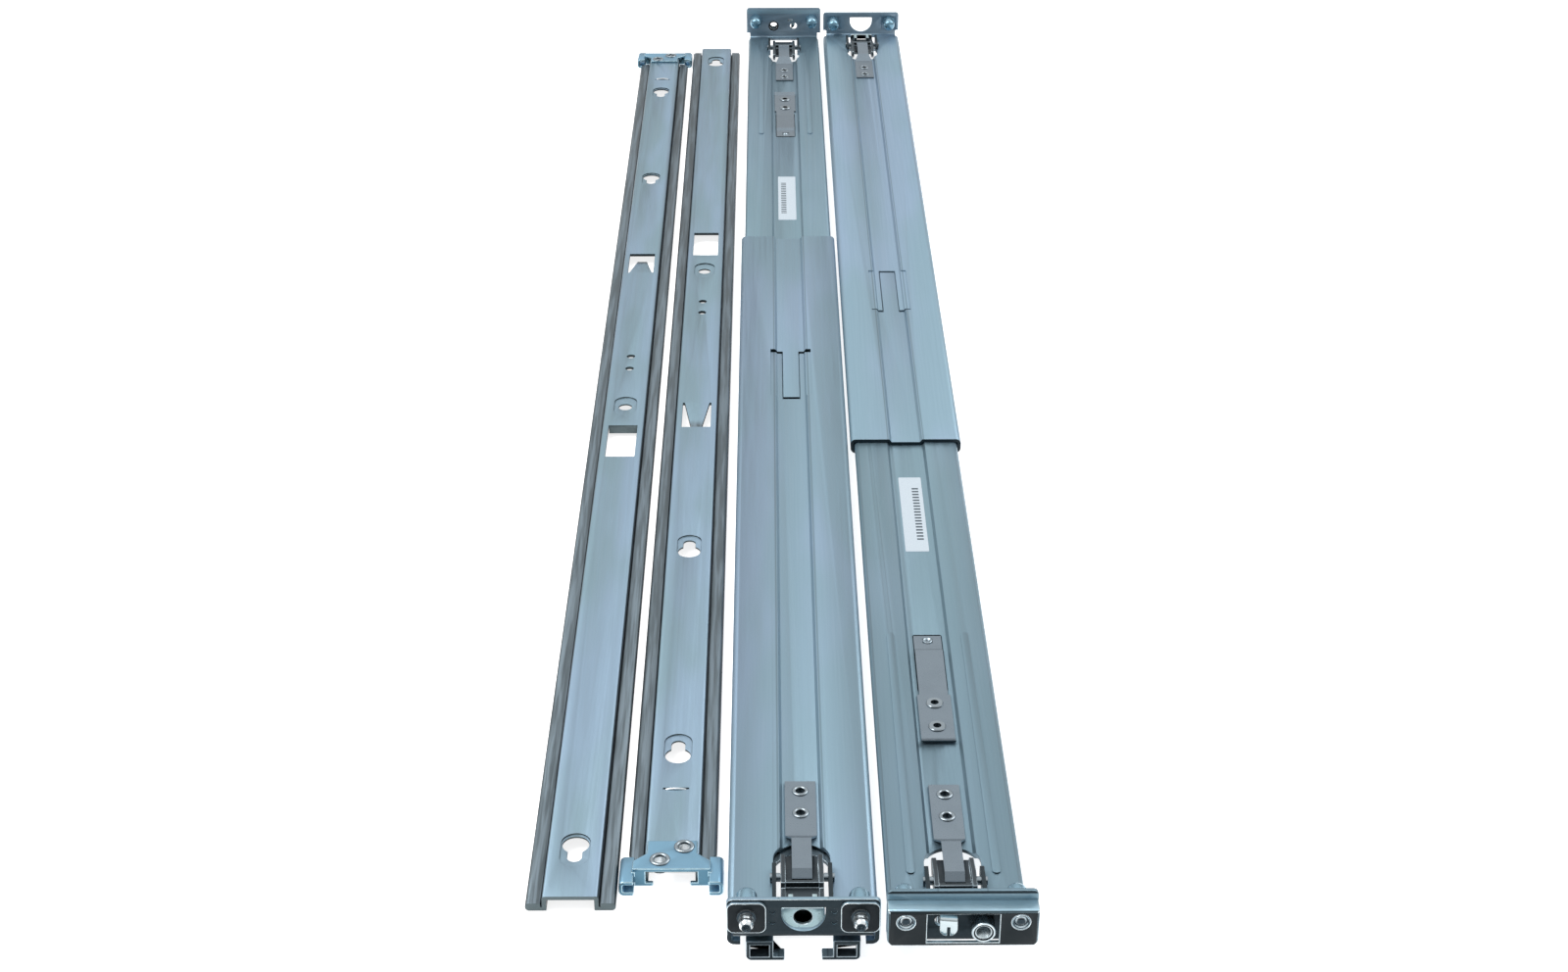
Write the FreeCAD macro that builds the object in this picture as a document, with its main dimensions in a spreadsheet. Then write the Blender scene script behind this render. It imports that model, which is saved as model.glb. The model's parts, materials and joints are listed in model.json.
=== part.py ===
import FreeCAD, Part
import math
import os
import Sketcher
from FreeCAD import Vector

# Sliding server rail pair.  Lengths are in millimetres, z is up and z = 0 is the
# plane that the set lies on.  An outer rail is a wide rear channel that slides over
# a narrow front channel; each has a rack plate with pins and a sprung latch at its
# own end.  The right outer rail and the right inner member are the left ones turned
# half a turn about z.
#
# Every end is drawn in its own frame: y = 0 on the outer face of the rack plate, y
# runs into the rail, z = 0 on the top of that channel's web.

SIZES = (
    # layout of the set
    ("rail_length", 791.0, "rack plate to rack plate of an outer rail"),
    ("inner_left_x", -58.625, "centre line of the left inner member"),
    ("inner_right_x", -29.725, "centre line of the right inner member"),
    ("outer_left_x", 8.375, "centre line of the left outer rail"),
    ("outer_right_x", 52.475, "centre line of the right outer rail"),
    ("inner_left_y", -373.2, "free end of the left inner member"),
    ("inner_right_y", 381.3, "free end of the right inner member"),
    # sheet and clearances
    ("sheet", 1.2, "thickness of the channel sheet"),
    ("run_gap", 0.3, "gap between channels that slide on each other"),
    ("pivot_gap", 0.05, "radial running fit of a latch arm on its pivot"),
    ("side_gap", 0.1, "end float of a latch arm on its pivot"),
    ("spring_gap", 0.1, "gap between a latch spring's dip and its latch plate"),
    # wide rear channel
    ("wide_top", 9.1, "height of the wide web above the floor"),
    ("wide_half", 21.45, "half the width of the wide channel"),
    ("wide_length", 496.0, "length of the wide channel"),
    ("wide_edge", 2.0, "outer radius along the web's edges"),
    ("wide_curl", 2.2, "outer radius of the curled flange"),
    ("wide_bottom", 3.0, "height of the curled flange above the floor"),
    ("wide_lip", 3.75, "how far the flange turns inward"),
    ("groove_half", 5.5, "half the flat floor of the groove"),
    ("groove_run", 0.9, "width of the groove's slope"),
    ("groove_under", 0.6, "sideways shift of the slope's under surface"),
    # narrow front channel
    ("narrow_half", 19.95, "half the width of the narrow channel"),
    ("narrow_length", 578.0, "length of the narrow channel"),
    ("narrow_edge", 1.5, "outer radius along the web's edges"),
    ("narrow_lip_low", 3.1, "depth of the lips' lower face below the web top"),
    ("narrow_lip_edge", 17.0, "inner edge of the lips"),
    ("narrow_groove_half", 6.4, "half the flat floor of the groove"),
    # rack plates
    ("bend_radius", 0.8, "inside radius where a plate meets its web"),
    ("relief_depth", 3.5, "where the flanges and the latch opening start"),
    ("relief_width", 1.8, "width of the corner notches"),
    ("relief_height", 2.5, "height of the corner notches"),
    ("rear_plate_top", 12.7, "rear plate above the web"),
    ("front_plate_top", 16.9, "front plate above the web"),
    ("front_plate_half", 21.0, "half the width of the front plate"),
    ("plate_corner", 1.5, "radius of the plates' upper corners"),
    ("pin_pitch", 31.75, "distance between the two rack pins"),
    ("rear_pin_height", 7.4, "rear pins above the web"),
    ("front_pin_height", 10.1, "front pins above the web"),
    ("pad_half_width", 5.4, "half the width of a pressed pad"),
    ("pad_low", 1.75, "lower edge of a pressed pad"),
    ("pad_high", 11.95, "upper edge of a pressed pad"),
    ("pad_corner", 2.0, "corner radius of a pressed pad"),
    ("pad_proud", 0.9, "how far a pad is pressed out"),
    ("view_hole_half", 6.2, "half the width of the D hole"),
    ("view_hole_middle", 7.7, "height where the D hole's round part starts"),
    ("view_hole_top", 9.9, "upper edge of the D hole"),
    ("dot_radius", 0.9, "radius of the dimples beside the D hole"),
    ("dot_depth", 0.3, "depth of the dimples"),
    ("dot_x", 8.6, "dimples from the centre line"),
    ("dot_low", 4.8, "height of the lower dimples"),
    ("dot_high", 8.5, "height of the upper dimples"),
    # pins
    ("rear_pin_radius", 2.3, "radius of a rear pin"),
    ("rear_pin_reach", 6.6, "how far a rear pin stands out of the plate"),
    ("pin_ring_radius", 2.65, "radius of the ring at a rear pin's base"),
    ("pin_ring_width", 0.6, "width of that ring"),
    ("pin_chamfer", 0.6, "chamfer at a pin's tip"),
    ("pin_socket_radius", 1.15, "radius of the socket in a pin"),
    ("pin_socket_depth", 3.0, "depth of the socket in a pin"),
    ("front_pin_radius", 2.45, "radius of a front pin"),
    ("tail_radius", 3.05, "radius of a pin's tail behind the plate"),
    ("tail_collar_radius", 3.3, "radius of the collar at a tail's base"),
    ("tail_collar_end", 2.4, "where that collar ends"),
    ("tail_end", 9.5, "end of a pin's tail"),
    ("tail_dome", 1.8, "radius of the tail's rounded end"),
    # openings for the latch
    ("cut_half", 8.4, "half the width of the latch opening"),
    ("cut_end", 42.7, "top of the opening's arch"),
    ("ear_inner", 7.5, "inner face of the latch ears"),
    ("ear_start", 10.0, "front edge of the ears"),
    ("ear_end", 30.0, "rear edge of the ears"),
    ("ear_top", 3.0, "height of the ears above the web"),
    ("ear_corner", 2.0, "radius of the ears' upper corners"),
    # lanced tongue of the wide web
    ("tongue_start", 334.0, "free end of the lanced tongue"),
    ("tongue_end", 376.0, "root of the lanced tongue"),
    ("tongue_half", 3.25, "half the width of the tongue"),
    ("tongue_gap", 1.8, "gap at the tongue's free end"),
    ("tongue_slit", 0.4, "slit beside the tongue"),
    ("tongue_strip", 8.4, "outer edge of the pressed strips"),
    ("tongue_sink", 0.5, "depth of the pressed strips"),
    ("tongue_slot", 2.0, "slots at the end of the strips"),
    # beads, window and label of the narrow channel
    ("bead_start", 28.7, "start of the web's beads"),
    ("bead_end", 157.7, "end of the web's beads"),
    ("bead_x", 12.5, "beads from the centre line"),
    ("bead_half", 1.25, "half the width of a bead"),
    ("bead_height", 0.5, "height of a bead"),
    ("window_start", 124.5, "start of the window under the lock spring"),
    ("window_end", 158.8, "end of that window"),
    ("window_half", 5.0, "half the width of that window"),
    ("label_start", 214.0, "start of the blank label"),
    ("label_end", 269.0, "end of the blank label"),
    ("label_half", 4.25, "half the width of the label"),
    ("label_thick", 0.1, "thickness of the label"),
    # latch
    ("pivot_y", 24.0, "latch pivot behind the plate's face"),
    ("pivot_z", 1.3, "latch pivot above the web"),
    ("pivot_radius", 1.0, "radius of a pivot"),
    ("pivot_head_radius", 1.3, "radius of a pivot's heads"),
    ("pivot_head", 0.6, "thickness of a pivot's heads"),
    ("arm_inner", 4.8, "inner face of the latch arms"),
    ("arm_outer", 6.2, "outer face of the latch arms"),
    ("latch_plate_low", -0.6, "under face of the latch plate"),
    ("latch_plate_high", 0.3, "upper face of the latch plate"),
    ("latch_plate_start", 11.0, "front edge of the latch plate"),
    ("latch_plate_end", 35.0, "rear edge of the latch plate"),
    ("bar_start", 20.6, "front face of the latch's cross bar"),
    ("bar_end", 21.8, "rear face of the cross bar"),
    ("bar_top", 2.2, "top of the cross bar"),
    ("nose_start", 5.0, "front of the front latch's arms"),
    # screw plate on the rear latch
    ("screw_plate_start", 8.6, "front face of the screw plate"),
    ("screw_plate_half", 6.2, "half the width of the screw plate"),
    ("screw_plate_low", -5.5, "lower edge of the screw plate"),
    ("screw_plate_high", 2.6, "upper edge of the screw plate"),
    ("screw_hole_radius", 2.65, "radius of the hole in the screw plate"),
    ("screw_hole_z", -0.6, "height of that hole"),
    ("screw_foot_end", 15.0, "rear end of the screw plate's foot"),
    ("screw_foot_half", 4.2, "half the width of the foot"),
    # leaf springs
    ("leaf", 0.6, "thickness of the spring strip"),
    ("spring_end", 73.0, "end of the latch spring"),
    ("spring_bend", 46.0, "where the latch spring leaves the groove"),
    ("spring_half", 4.7, "half the width of the riveted part"),
    ("spring_neck", 41.5, "where the spring's tongue starts"),
    ("tongue_width", 2.925, "half the width of the spring's tongue"),
    ("spring_neck_z", 2.1, "height of the spring at its neck"),
    ("spring_crest", 26.3, "crest of the spring's tongue"),
    ("spring_crest_z", 2.9, "height of that crest"),
    ("spring_dip", 24.3, "where the spring presses the latch"),
    ("spring_tip", 22.4, "tip of the spring"),
    ("spring_tip_z", 2.1, "height of the tip"),
    ("spring_rivet_one", 57.0, "first rivet of the latch spring"),
    ("spring_rivet_two", 68.0, "second rivet of the latch spring"),
    ("rivet_head_radius", 2.6, "radius of a hollow rivet's head"),
    ("rivet_shank_radius", 1.9, "radius of a hollow rivet's shank"),
    ("rivet_bore_radius", 1.3, "radius of a hollow rivet's bore"),
    ("rivet_head", 0.5, "thickness of a rivet's head"),
    # lock spring
    ("lock_start", 95.0, "raised end of the lock spring"),
    ("lock_lift", 1.0, "how far that end is raised"),
    ("lock_flat", 97.5, "where the lock spring lies flat"),
    ("lock_bend", 127.5, "bend line of the lock spring"),
    ("lock_step", 148.0, "where the lock spring steps down"),
    ("lock_end", 158.0, "free end of the lock spring"),
    ("lock_rise", 0.4, "rise of the free arm"),
    ("lock_drop", 0.5, "step at the free end"),
    ("lock_half", 5.4, "half the width of the riveted part"),
    ("lock_arm_half", 4.65, "half the width of the free arm"),
    ("lock_neck", 122.0, "where the free arm starts"),
    ("lock_rivet_one", 104.0, "first rivet of the lock spring"),
    ("lock_rivet_two", 117.0, "second rivet of the lock spring"),
    ("lock_rivet_head", 2.8, "radius of the lock spring rivets' heads"),
    ("lock_dimple", 1.7, "half the side of the square dimple"),
    # guide at the rear
    ("guide_half", 16.1, "half the width of the rear guide"),
    ("guide_inner_half", 14.5, "half its width further in"),
    ("guide_start", 0.2, "front face of the rear guide"),
    ("guide_foot_end", 4.0, "rear face of the guide's feet"),
    ("guide_shoulder", 20.0, "where the guide grows narrower"),
    ("guide_end", 75.0, "rear edge of the guide"),
    ("guide_cut_end", 39.7, "top of the guide's arch"),
    ("guide_toe", 5.25, "inner edge of the feet's toes"),
    ("guide_corner", 1.6, "radius of the feet's outer corners"),
    # slide track
    ("track_half", 14.6, "half the width of the slide track"),
    ("track_gap_half", 9.2, "half the gap between the track's lips"),
    ("track_start", 63.0, "front end of the slide track"),
    ("track_end", 576.0, "rear end of the slide track"),
    ("track_corner", 1.6, "outer radius of the track's bends"),
    ("track_rivet_one", 320.0, "first flush rivet of the track"),
    ("track_rivet_step", 120.0, "distance between the flush rivets"),
    ("flush_head_radius", 2.2, "radius of a flush rivet's head"),
    ("flush_shank_radius", 1.4, "radius of a flush rivet's shank"),
    ("flush_head", 0.7, "depth of the countersink"),
    # front bezel, threaded socket and hook
    ("bezel_half", 21.0, "half the width of the bezel"),
    ("bezel_reach", 5.2, "depth of the bezel in front of the plate"),
    ("bezel_low", 1.9, "lower edge of the bezel"),
    ("bezel_high", 14.0, "upper face of the bezel"),
    ("bezel_window_half", 10.0, "half the width of the bezel's window"),
    ("bezel_window_low", 3.0, "lower edge of the window"),
    ("bezel_window_high", 12.8, "upper edge of the window"),
    ("bezel_edge", 1.0, "radius of the bezel's front edge"),
    ("bezel_chamfer", 1.2, "chamfer of the lower corners"),
    ("pin_fit", 0.05, "radial fit of a pin in the bezel"),
    ("socket_x", 5.67, "threaded socket from the centre line"),
    ("socket_z", 6.5, "threaded socket above the web"),
    ("socket_radius", 3.35, "outer radius of the socket"),
    ("socket_reach", 5.3, "length of the socket in front of the plate"),
    ("socket_neck", 2.9, "radius of the socket's pressed neck"),
    ("socket_bore", 2.1, "radius of the bore for an M5 thread"),
    ("spare_hole_radius", 1.95, "radius of the open hole beside it"),
    ("hook_x", -3.9, "centre of the hook"),
    ("hook_half", 2.5, "half the width of the hook"),
    ("hook_reach", 3.6, "how far the hook stands out"),
    ("hook_top", 10.4, "upper face of the hook"),
    ("hook_low", 3.9, "lower end of the hook"),
    ("hook_bend", 2.0, "outer radius of the hook's bend"),
    ("hook_tab_half", 1.5, "half the width of the staked tab"),
    ("hook_slit_half", 0.4, "half the width of the hook's slit"),
    ("hook_slit_top", 7.0, "upper end of the slit"),
    # inner member
    ("inner_sheet", 1.3, "thickness of the inner member's sheet"),
    ("inner_top", 5.1, "height of the inner web"),
    ("inner_web_half", 8.25, "half the width of the inner web"),
    ("inner_half", 13.15, "half the width over the hems"),
    ("hem_slit", 0.4, "slit between a hem's edge and the wall"),
    ("hem_edge", 1.2, "radius of the hems' folded edges"),
    ("inner_web_length", 742.0, "length of the inner web"),
    ("hem_length", 735.0, "length of the hems"),
    ("key_hole_radius", 4.0, "radius of a keyhole's entry"),
    ("key_slot_half", 2.175, "half the width of a keyhole's slot"),
    ("key_slot_reach", 8.1, "length of a keyhole's slot"),
    ("key_dish_half", 4.35, "half the width of the sunk dish"),
    ("key_dish_start", 11.0, "dish before the keyhole's centre"),
    ("key_dish_end", 4.8, "dish behind the keyhole's centre"),
    ("key_dish_depth", 0.6, "depth of the dish"),
    ("key_one", 25.0, "first keyhole"),
    ("key_two", 559.0, "second keyhole"),
    ("key_three", 684.5, "third keyhole"),
    ("small_key", 310.0, "centre of the small dished hole"),
    ("small_key_radius", 2.65, "radius of the small hole"),
    ("small_dish_half", 4.5, "half the width of its dish"),
    ("small_dish_reach", 8.0, "half the length of its dish"),
    ("window_two_start", 267.0, "start of the plain window"),
    ("window_two_end", 293.0, "end of the plain window"),
    ("window_two_half", 5.7, "half its width"),
    ("window_flange", 2.4, "depth of the window's turned flange"),
    ("dimple_one", 344.0, "first small hole"),
    ("dimple_two", 355.5, "second small hole"),
    ("dimple_radius", 1.7, "radius of the small holes"),
    ("lance_start", 442.0, "start of the lanced window"),
    ("lance_end", 463.0, "end of the lanced window"),
    ("lance_half", 5.75, "half the width of the lanced window"),
    ("lance_tab_half", 5.0, "half the width of the tab's root"),
    ("lance_foot_half", 2.0, "half the width of the tab's foot"),
    ("lance_tab_end", 459.0, "end of the tab"),
    ("lance_tab_low", 1.6, "height of the tab's end above the floor"),
    ("slit_place", 702.5, "centre of the short slit"),
    ("slit_half", 0.4, "half the width of the short slit"),
    ("slit_reach", 4.0, "half the length of the short slit"),
    # bracket at the end of an inner member
    ("bracket_start", 730.0, "front edge of the bracket plate"),
    ("bracket_flare", 736.0, "where the bracket plate widens"),
    ("bracket_wide", 739.5, "where it reaches its full width"),
    ("bracket_end", 743.5, "outer face of the bracket wall"),
    ("bracket_half", 7.5, "half the width of the plate's front"),
    ("bracket_wide_half", 11.5, "half the width of the plate's rear"),
    ("bracket_cut_half", 7.6, "half the width of the wall's opening"),
    ("bracket_toe", 5.45, "inner edge of the bracket's feet"),
    ("bracket_ear_start", 736.0, "front edge of the side ears"),
    ("bracket_ear_end", 748.0, "rear edge of the side ears"),
    ("bracket_ear_half", 15.3, "half the width over the ears"),
    ("bracket_ear_inner", 11.0, "inner edge of the ears' upper flange"),
    ("bracket_ear_top", 5.0, "height of the ears"),
    ("bracket_corner", 1.6, "outer radius of the ears' bends"),
    ("eyelet_x", 3.5, "bracket rivets from the centre line"),
    ("eyelet_far", 739.0, "rivet near the wall"),
    ("eyelet_near", 733.0, "rivet near the plate's front"),
    ("eyelet_head", 3.1, "radius of a bracket rivet's head"),
    ("eyelet_shank", 2.2, "radius of a bracket rivet's shank"),
    ("eyelet_bore", 1.75, "radius of a bracket rivet's bore"),
)


class Size:
    """A number kept together with the sheet formula that gives it."""

    def __init__(self, number, formula):
        self.number = float(number)
        self.formula = formula

    def __add__(self, other):
        other = size(other)
        return Size(self.number + other.number, "(%s + %s)" % (self.formula, other.formula))

    def __radd__(self, other):
        return size(other) + self

    def __sub__(self, other):
        other = size(other)
        return Size(self.number - other.number, "(%s - %s)" % (self.formula, other.formula))

    def __rsub__(self, other):
        return size(other) - self

    def __mul__(self, other):
        other = size(other)
        return Size(self.number * other.number, "(%s * %s)" % (self.formula, other.formula))

    def __rmul__(self, other):
        return size(other) * self

    def __truediv__(self, other):
        other = size(other)
        return Size(self.number / other.number, "(%s / %s)" % (self.formula, other.formula))

    def __neg__(self):
        return Size(-self.number, "(0 - %s)" % self.formula)


def size(value):
    """A plain number as a Size; a Size stays as it is."""
    if isinstance(value, Size):
        return value
    return Size(value, "%.6f" % value if value >= 0 else "(0 - %.6f)" % -value)


class Named:
    """Holds every size of the sheet under its own name."""


def read_sizes(doc):
    """Writes the sizes into the sheet and returns them by name."""
    sheet = doc.addObject("Spreadsheet::Sheet", "Sizes")
    named = Named()
    for row, (name, value, note) in enumerate(SIZES, start=1):
        sheet.set("A%d" % row, name)
        sheet.set("B%d" % row, "%g" % value)
        sheet.set("C%d" % row, note)
        sheet.setAlias("B%d" % row, name)
        setattr(named, name, Size(value, "Sizes." + name))
    doc.recompute()
    return named


DOC = FreeCAD.newDocument("server_rail_pair")
S = read_sizes(DOC)
ZERO = size(0)
NORMAL = {"XY_Plane": 1, "XZ_Plane": -1, "YZ_Plane": 1}


# ---------------------------------------------------------------- drawing helpers

def new_body(label):
    """A new body that may hold several separate solids."""
    body = DOC.addObject("PartDesign::Body", label)
    body.Label = label
    body.AllowCompound = True
    return body


def new_sketch(body, role, offset):
    """A sketch on one of the body's own planes, shifted by offset (x, y, z)."""
    sketch = body.newObject("Sketcher::SketchObject", body.Label + "_sketch")
    plane = [feature for feature in body.Origin.OriginFeatures if feature.Role == role][0]
    sketch.AttachmentSupport = (plane, [""])
    sketch.MapMode = "FlatFace"
    for axis, value in zip("xyz", offset):
        value = size(value)
        if value.number:
            sketch.setExpression("AttachmentOffset.Base." + axis, value.formula)
    return sketch


def hold(sketch, kind, *args):
    """Adds a dimension whose last argument is a Size."""
    value = args[-1]
    index = sketch.addConstraint(Sketcher.Constraint(kind, *args[:-1], value.number))
    sketch.setExpression("Constraints[%d]" % index, value.formula)


def arc_geometry(start, end, radius):
    """The arc from start to end; a positive radius turns left, a negative one right."""
    if radius < 0:
        return arc_geometry(end, start, -radius)
    chord = end - start
    rise = math.sqrt(max(radius * radius - chord.Length * chord.Length / 4, 0))
    side = Vector(-chord.y, chord.x, 0) / chord.Length
    centre = (start + end) / 2 + side * rise
    first = math.atan2(start.y - centre.y, start.x - centre.x)
    last = math.atan2(end.y - centre.y, end.x - centre.x)
    if last < first:
        last += 2 * math.pi
    return Part.ArcOfCircle(Part.Circle(centre, Vector(0, 0, 1), radius), first, last)


def draw_outline(sketch, corners):
    """Draws a closed outline of (x, y) or (x, y, r) corners, r bending the next side."""
    corners = [tuple(size(value) for value in corner) for corner in corners]
    count = len(corners)
    first = sketch.GeometryCount
    starts = []
    ends = []
    for place, corner in enumerate(corners):
        after = corners[(place + 1) % count]
        start = Vector(corner[0].number, corner[1].number, 0)
        end = Vector(after[0].number, after[1].number, 0)
        turned = len(corner) == 3 and corner[2].number < 0
        if len(corner) == 3:
            sketch.addGeometry(arc_geometry(start, end, corner[2].number))
        else:
            sketch.addGeometry(Part.LineSegment(start, end))
        starts.append(2 if turned else 1)
        ends.append(1 if turned else 2)
    for place, corner in enumerate(corners):
        line = first + place
        after = (place + 1) % count
        sketch.addConstraint(
            Sketcher.Constraint("Coincident", line, ends[place], first + after, starts[after]))
        hold(sketch, "DistanceX", line, starts[place], corner[0])
        hold(sketch, "DistanceY", line, starts[place], corner[1])
        if len(corner) == 3:
            radius = corner[2] if corner[2].number > 0 else -corner[2]
            hold(sketch, "Radius", line, radius)


def draw_circle(sketch, x, y, radius):
    """Draws a circle held by its centre and radius."""
    x, y, radius = size(x), size(y), size(radius)
    line = sketch.GeometryCount
    centre = Vector(x.number, y.number, 0)
    sketch.addGeometry(Part.Circle(centre, Vector(0, 0, 1), radius.number))
    hold(sketch, "DistanceX", line, 3, x)
    hold(sketch, "DistanceY", line, 3, y)
    hold(sketch, "Radius", line, radius)


def draw(sketch, shapes):
    """Draws circles, given as ("circle", x, y, r), and outlines, given as lists."""
    for shape in shapes:
        if shape[0] == "circle":
            draw_circle(sketch, *shape[1:])
        else:
            draw_outline(sketch, shape)


def rounded(corners):
    """Turns (x, y, r) corners between level and upright sides into rounded ones."""
    corners = [tuple(size(value) for value in corner) for corner in corners]
    result = []
    for place, corner in enumerate(corners):
        if len(corner) == 2:
            result.append(corner)
            continue
        before = corners[place - 1]
        after = corners[(place + 1) % len(corners)]
        into = [sign(corner[k].number - before[k].number) for k in (0, 1)]
        out = [sign(after[k].number - corner[k].number) for k in (0, 1)]
        left = into[0] * out[1] - into[1] * out[0] > 0
        radius = corner[2]
        result.append((corner[0] - radius * into[0], corner[1] - radius * into[1],
                       radius if left else -radius))
        result.append((corner[0] + radius * out[0], corner[1] + radius * out[1]))
    return result


def sign(value):
    """-1, 0 or 1."""
    if abs(value) < 1e-6:
        return 0
    return 1 if value > 0 else -1


def mirrored(corners):
    """The same outline on the other side of x = 0, drawn the same way round."""
    corners = [tuple(size(value) for value in corner) for corner in corners]
    result = []
    for place in range(len(corners) - 1, -1, -1):
        corner = corners[place]
        bend = corners[place - 1][2:]
        result.append((-corner[0], corner[1]) + tuple(bend))
    return result


def both(corners):
    """An outline together with its mirror image."""
    return [corners, mirrored(corners)]


def joined(half):
    """Closes an open half outline, drawn downward on the right, with its mirror."""
    half = [tuple(size(value) for value in corner) for corner in half]
    other = []
    for place in range(len(half) - 1, -1, -1):
        bend = half[place - 1][2:] if place else ()
        other.append((-half[place][0], half[place][1]) + tuple(bend))
    return half + other


def box(x_low, x_high, y_low, y_high):
    """A plain rectangle."""
    return [(x_low, y_low), (x_high, y_low), (x_high, y_high), (x_low, y_high)]


def soft_box(x_low, x_high, y_low, y_high, radius):
    """A rectangle with four rounded corners."""
    return rounded([(x_low, y_low, radius), (x_high, y_low, radius),
                    (x_high, y_high, radius), (x_low, y_high, radius)])


def arch(half, low, high):
    """A shape with a straight low side and a half-round high side."""
    half = size(half)
    shoulder = size(high) - half
    return [(-half, low), (half, low), (half, shoulder, half), (0, high, half),
            (-half, shoulder)]


def capsule(x, half, low, high):
    """A shape along y with two half-round ends."""
    x, half, low, high = size(x), size(half), size(low), size(high)
    return [(x + half, low + half), (x + half, high - half, half), (x, high, half),
            (x - half, high - half), (x - half, low + half, half), (x, low, half)]


def extrude(body, kind, role, low, high, shapes):
    """A Pad or Pocket of the shapes between two levels along the plane's axis."""
    low, high = size(low), size(high)
    normal = NORMAL[role]
    level = low if (kind == "Pad") == (normal == 1) else high
    sketch = new_sketch(body, role, (0, 0, level * normal))
    draw(sketch, shapes)
    feature = body.newObject("PartDesign::" + kind, body.Label + "_" + kind.lower())
    feature.Profile = sketch
    depth = high - low
    feature.Length = depth.number
    feature.setExpression("Length", depth.formula)
    sketch.Visibility = False
    return feature


def turned(body, axis, place, profile):
    """A turned shape: (along, radius) corners about an axis through place."""
    x, y, z = place
    if axis == "x":
        sketch = new_sketch(body, "XY_Plane", (x, y, z))
        draw_outline(sketch, profile)
    else:
        role = "XY_Plane" if axis == "y" else "XZ_Plane"
        offset = (x, y, z) if axis == "y" else (x, z, -size(y))
        sketch = new_sketch(body, role, offset)
        flipped = []
        for count, corner in enumerate(profile):
            bend = tuple(-size(value) for value in corner[2:])
            flipped.append((corner[1], corner[0]) + bend)
        draw_outline(sketch, flipped)
    feature = body.newObject("PartDesign::Revolution", body.Label + "_turned")
    feature.Profile = sketch
    feature.ReferenceAxis = (sketch, ["H_Axis" if axis == "x" else "V_Axis"])
    feature.Angle = 360
    sketch.Visibility = False
    return feature


def ease(body, kind, amount, chosen):
    """Rounds (Fillet) or chamfers the edges of the last feature that chosen accepts."""
    DOC.recompute()
    base = body.Tip
    names = []
    for count, edge in enumerate(base.Shape.Edges, start=1):
        if chosen(edge.BoundBox):
            names.append("Edge%d" % count)
    if not names:
        raise ValueError("no edge chosen on " + body.Label)
    feature = body.newObject("PartDesign::" + kind, body.Label + "_" + kind.lower())
    feature.Base = (base, names)
    amount = size(amount)
    key = "Radius" if kind == "Fillet" else "Size"
    setattr(feature, key, amount.number)
    feature.setExpression(key, amount.formula)
    return feature


def level_at(box_low, box_high, value):
    """Whether an edge's extent lies at one coordinate."""
    return abs(box_low - value) < 1e-3 and abs(box_high - value) < 1e-3


# ---------------------------------------------------------------- derived sizes

FLANGE = S.wide_top - S.wide_bottom
NARROW_TOP = S.wide_top - S.sheet - S.run_gap
GROOVE = S.sheet
UNDER = GROOVE + S.sheet
PIN_X = S.pin_pitch / 2
SPRING_SPOTS = (S.spring_rivet_one, S.spring_rivet_two)
LOCK_SPOTS = (S.lock_rivet_one, S.lock_rivet_two)
FLUSH_SPOTS = tuple(S.track_rivet_one + S.track_rivet_step * count for count in range(3))
KEYHOLES = (S.key_one, S.key_two, S.key_three)
OVER = size(1)


# ---------------------------------------------------------------- channels

def channel_half(half, edge, curl, low, lip_edge, groove, top_run, under_shift):
    """Right half of a channel's section, from the groove's floor round to its underside."""
    sheet = S.sheet
    inner = half - sheet
    rim = size(0.8) if edge.number > 1.7 else size(0.3)
    low_rim = curl - sheet
    corners = rounded([
        (0, ZERO), (half, ZERO, edge), (half, -low, curl), (lip_edge, -low),
        (lip_edge, -low + sheet), (inner, -low + sheet, low_rim), (inner, -sheet, rim),
        (0, -sheet)])
    return ([(groove, -GROOVE), (groove + top_run, ZERO)] + corners[1:-1]
            + [(groove + top_run + under_shift, -sheet), (groove + under_shift, -UNDER)])


def rack_plate(body, half, top):
    """The end of the web bent up into a rack plate, with corner notches."""
    sheet = S.sheet
    outer = S.bend_radius + sheet
    profile = [(ZERO, top), (ZERO, outer - sheet, outer), (outer, -sheet),
               (S.relief_depth, -sheet), (S.relief_depth, ZERO), (outer, ZERO, -S.bend_radius),
               (sheet, S.bend_radius), (sheet, top)]
    extrude(body, "Pad", "YZ_Plane", -half, half, [profile])
    edge = half.number
    peak = top.number
    ease(body, "Fillet", S.plate_corner,
         lambda b: level_at(b.ZMin, b.ZMax, peak) and b.XLength < 1e-3
         and abs(abs(b.XMin) - edge) < 1e-3)
    notch = box(half - S.relief_width, half + OVER, -UNDER, S.relief_height)
    extrude(body, "Pocket", "XZ_Plane", -OVER, S.relief_depth, both(notch))


def latch_opening(body):
    """The arched opening in the web and the two ears bent up from its sides."""
    extrude(body, "Pocket", "XY_Plane", -UNDER - OVER, OVER,
            [arch(S.cut_half, S.relief_depth, S.cut_end)])
    ear = rounded([(S.ear_start, -S.sheet), (S.ear_end, -S.sheet),
                   (S.ear_end, S.ear_top, S.ear_corner),
                   (S.ear_start, S.ear_top, S.ear_corner)])
    ear_outer = S.ear_inner + S.sheet
    extrude(body, "Pad", "YZ_Plane", S.ear_inner, ear_outer, [ear])
    extrude(body, "Pad", "YZ_Plane", -ear_outer, -S.ear_inner, [ear])
    hole = ("circle", S.pivot_y, S.pivot_z, S.pivot_radius)
    extrude(body, "Pocket", "YZ_Plane", -ear_outer, ear_outer, [hole])


def floor_holes(body, spots, radius):
    """Rivet holes through the floor of the groove."""
    extrude(body, "Pocket", "XY_Plane", -UNDER - OVER, OVER,
            [("circle", ZERO, spot, radius) for spot in spots])


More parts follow.
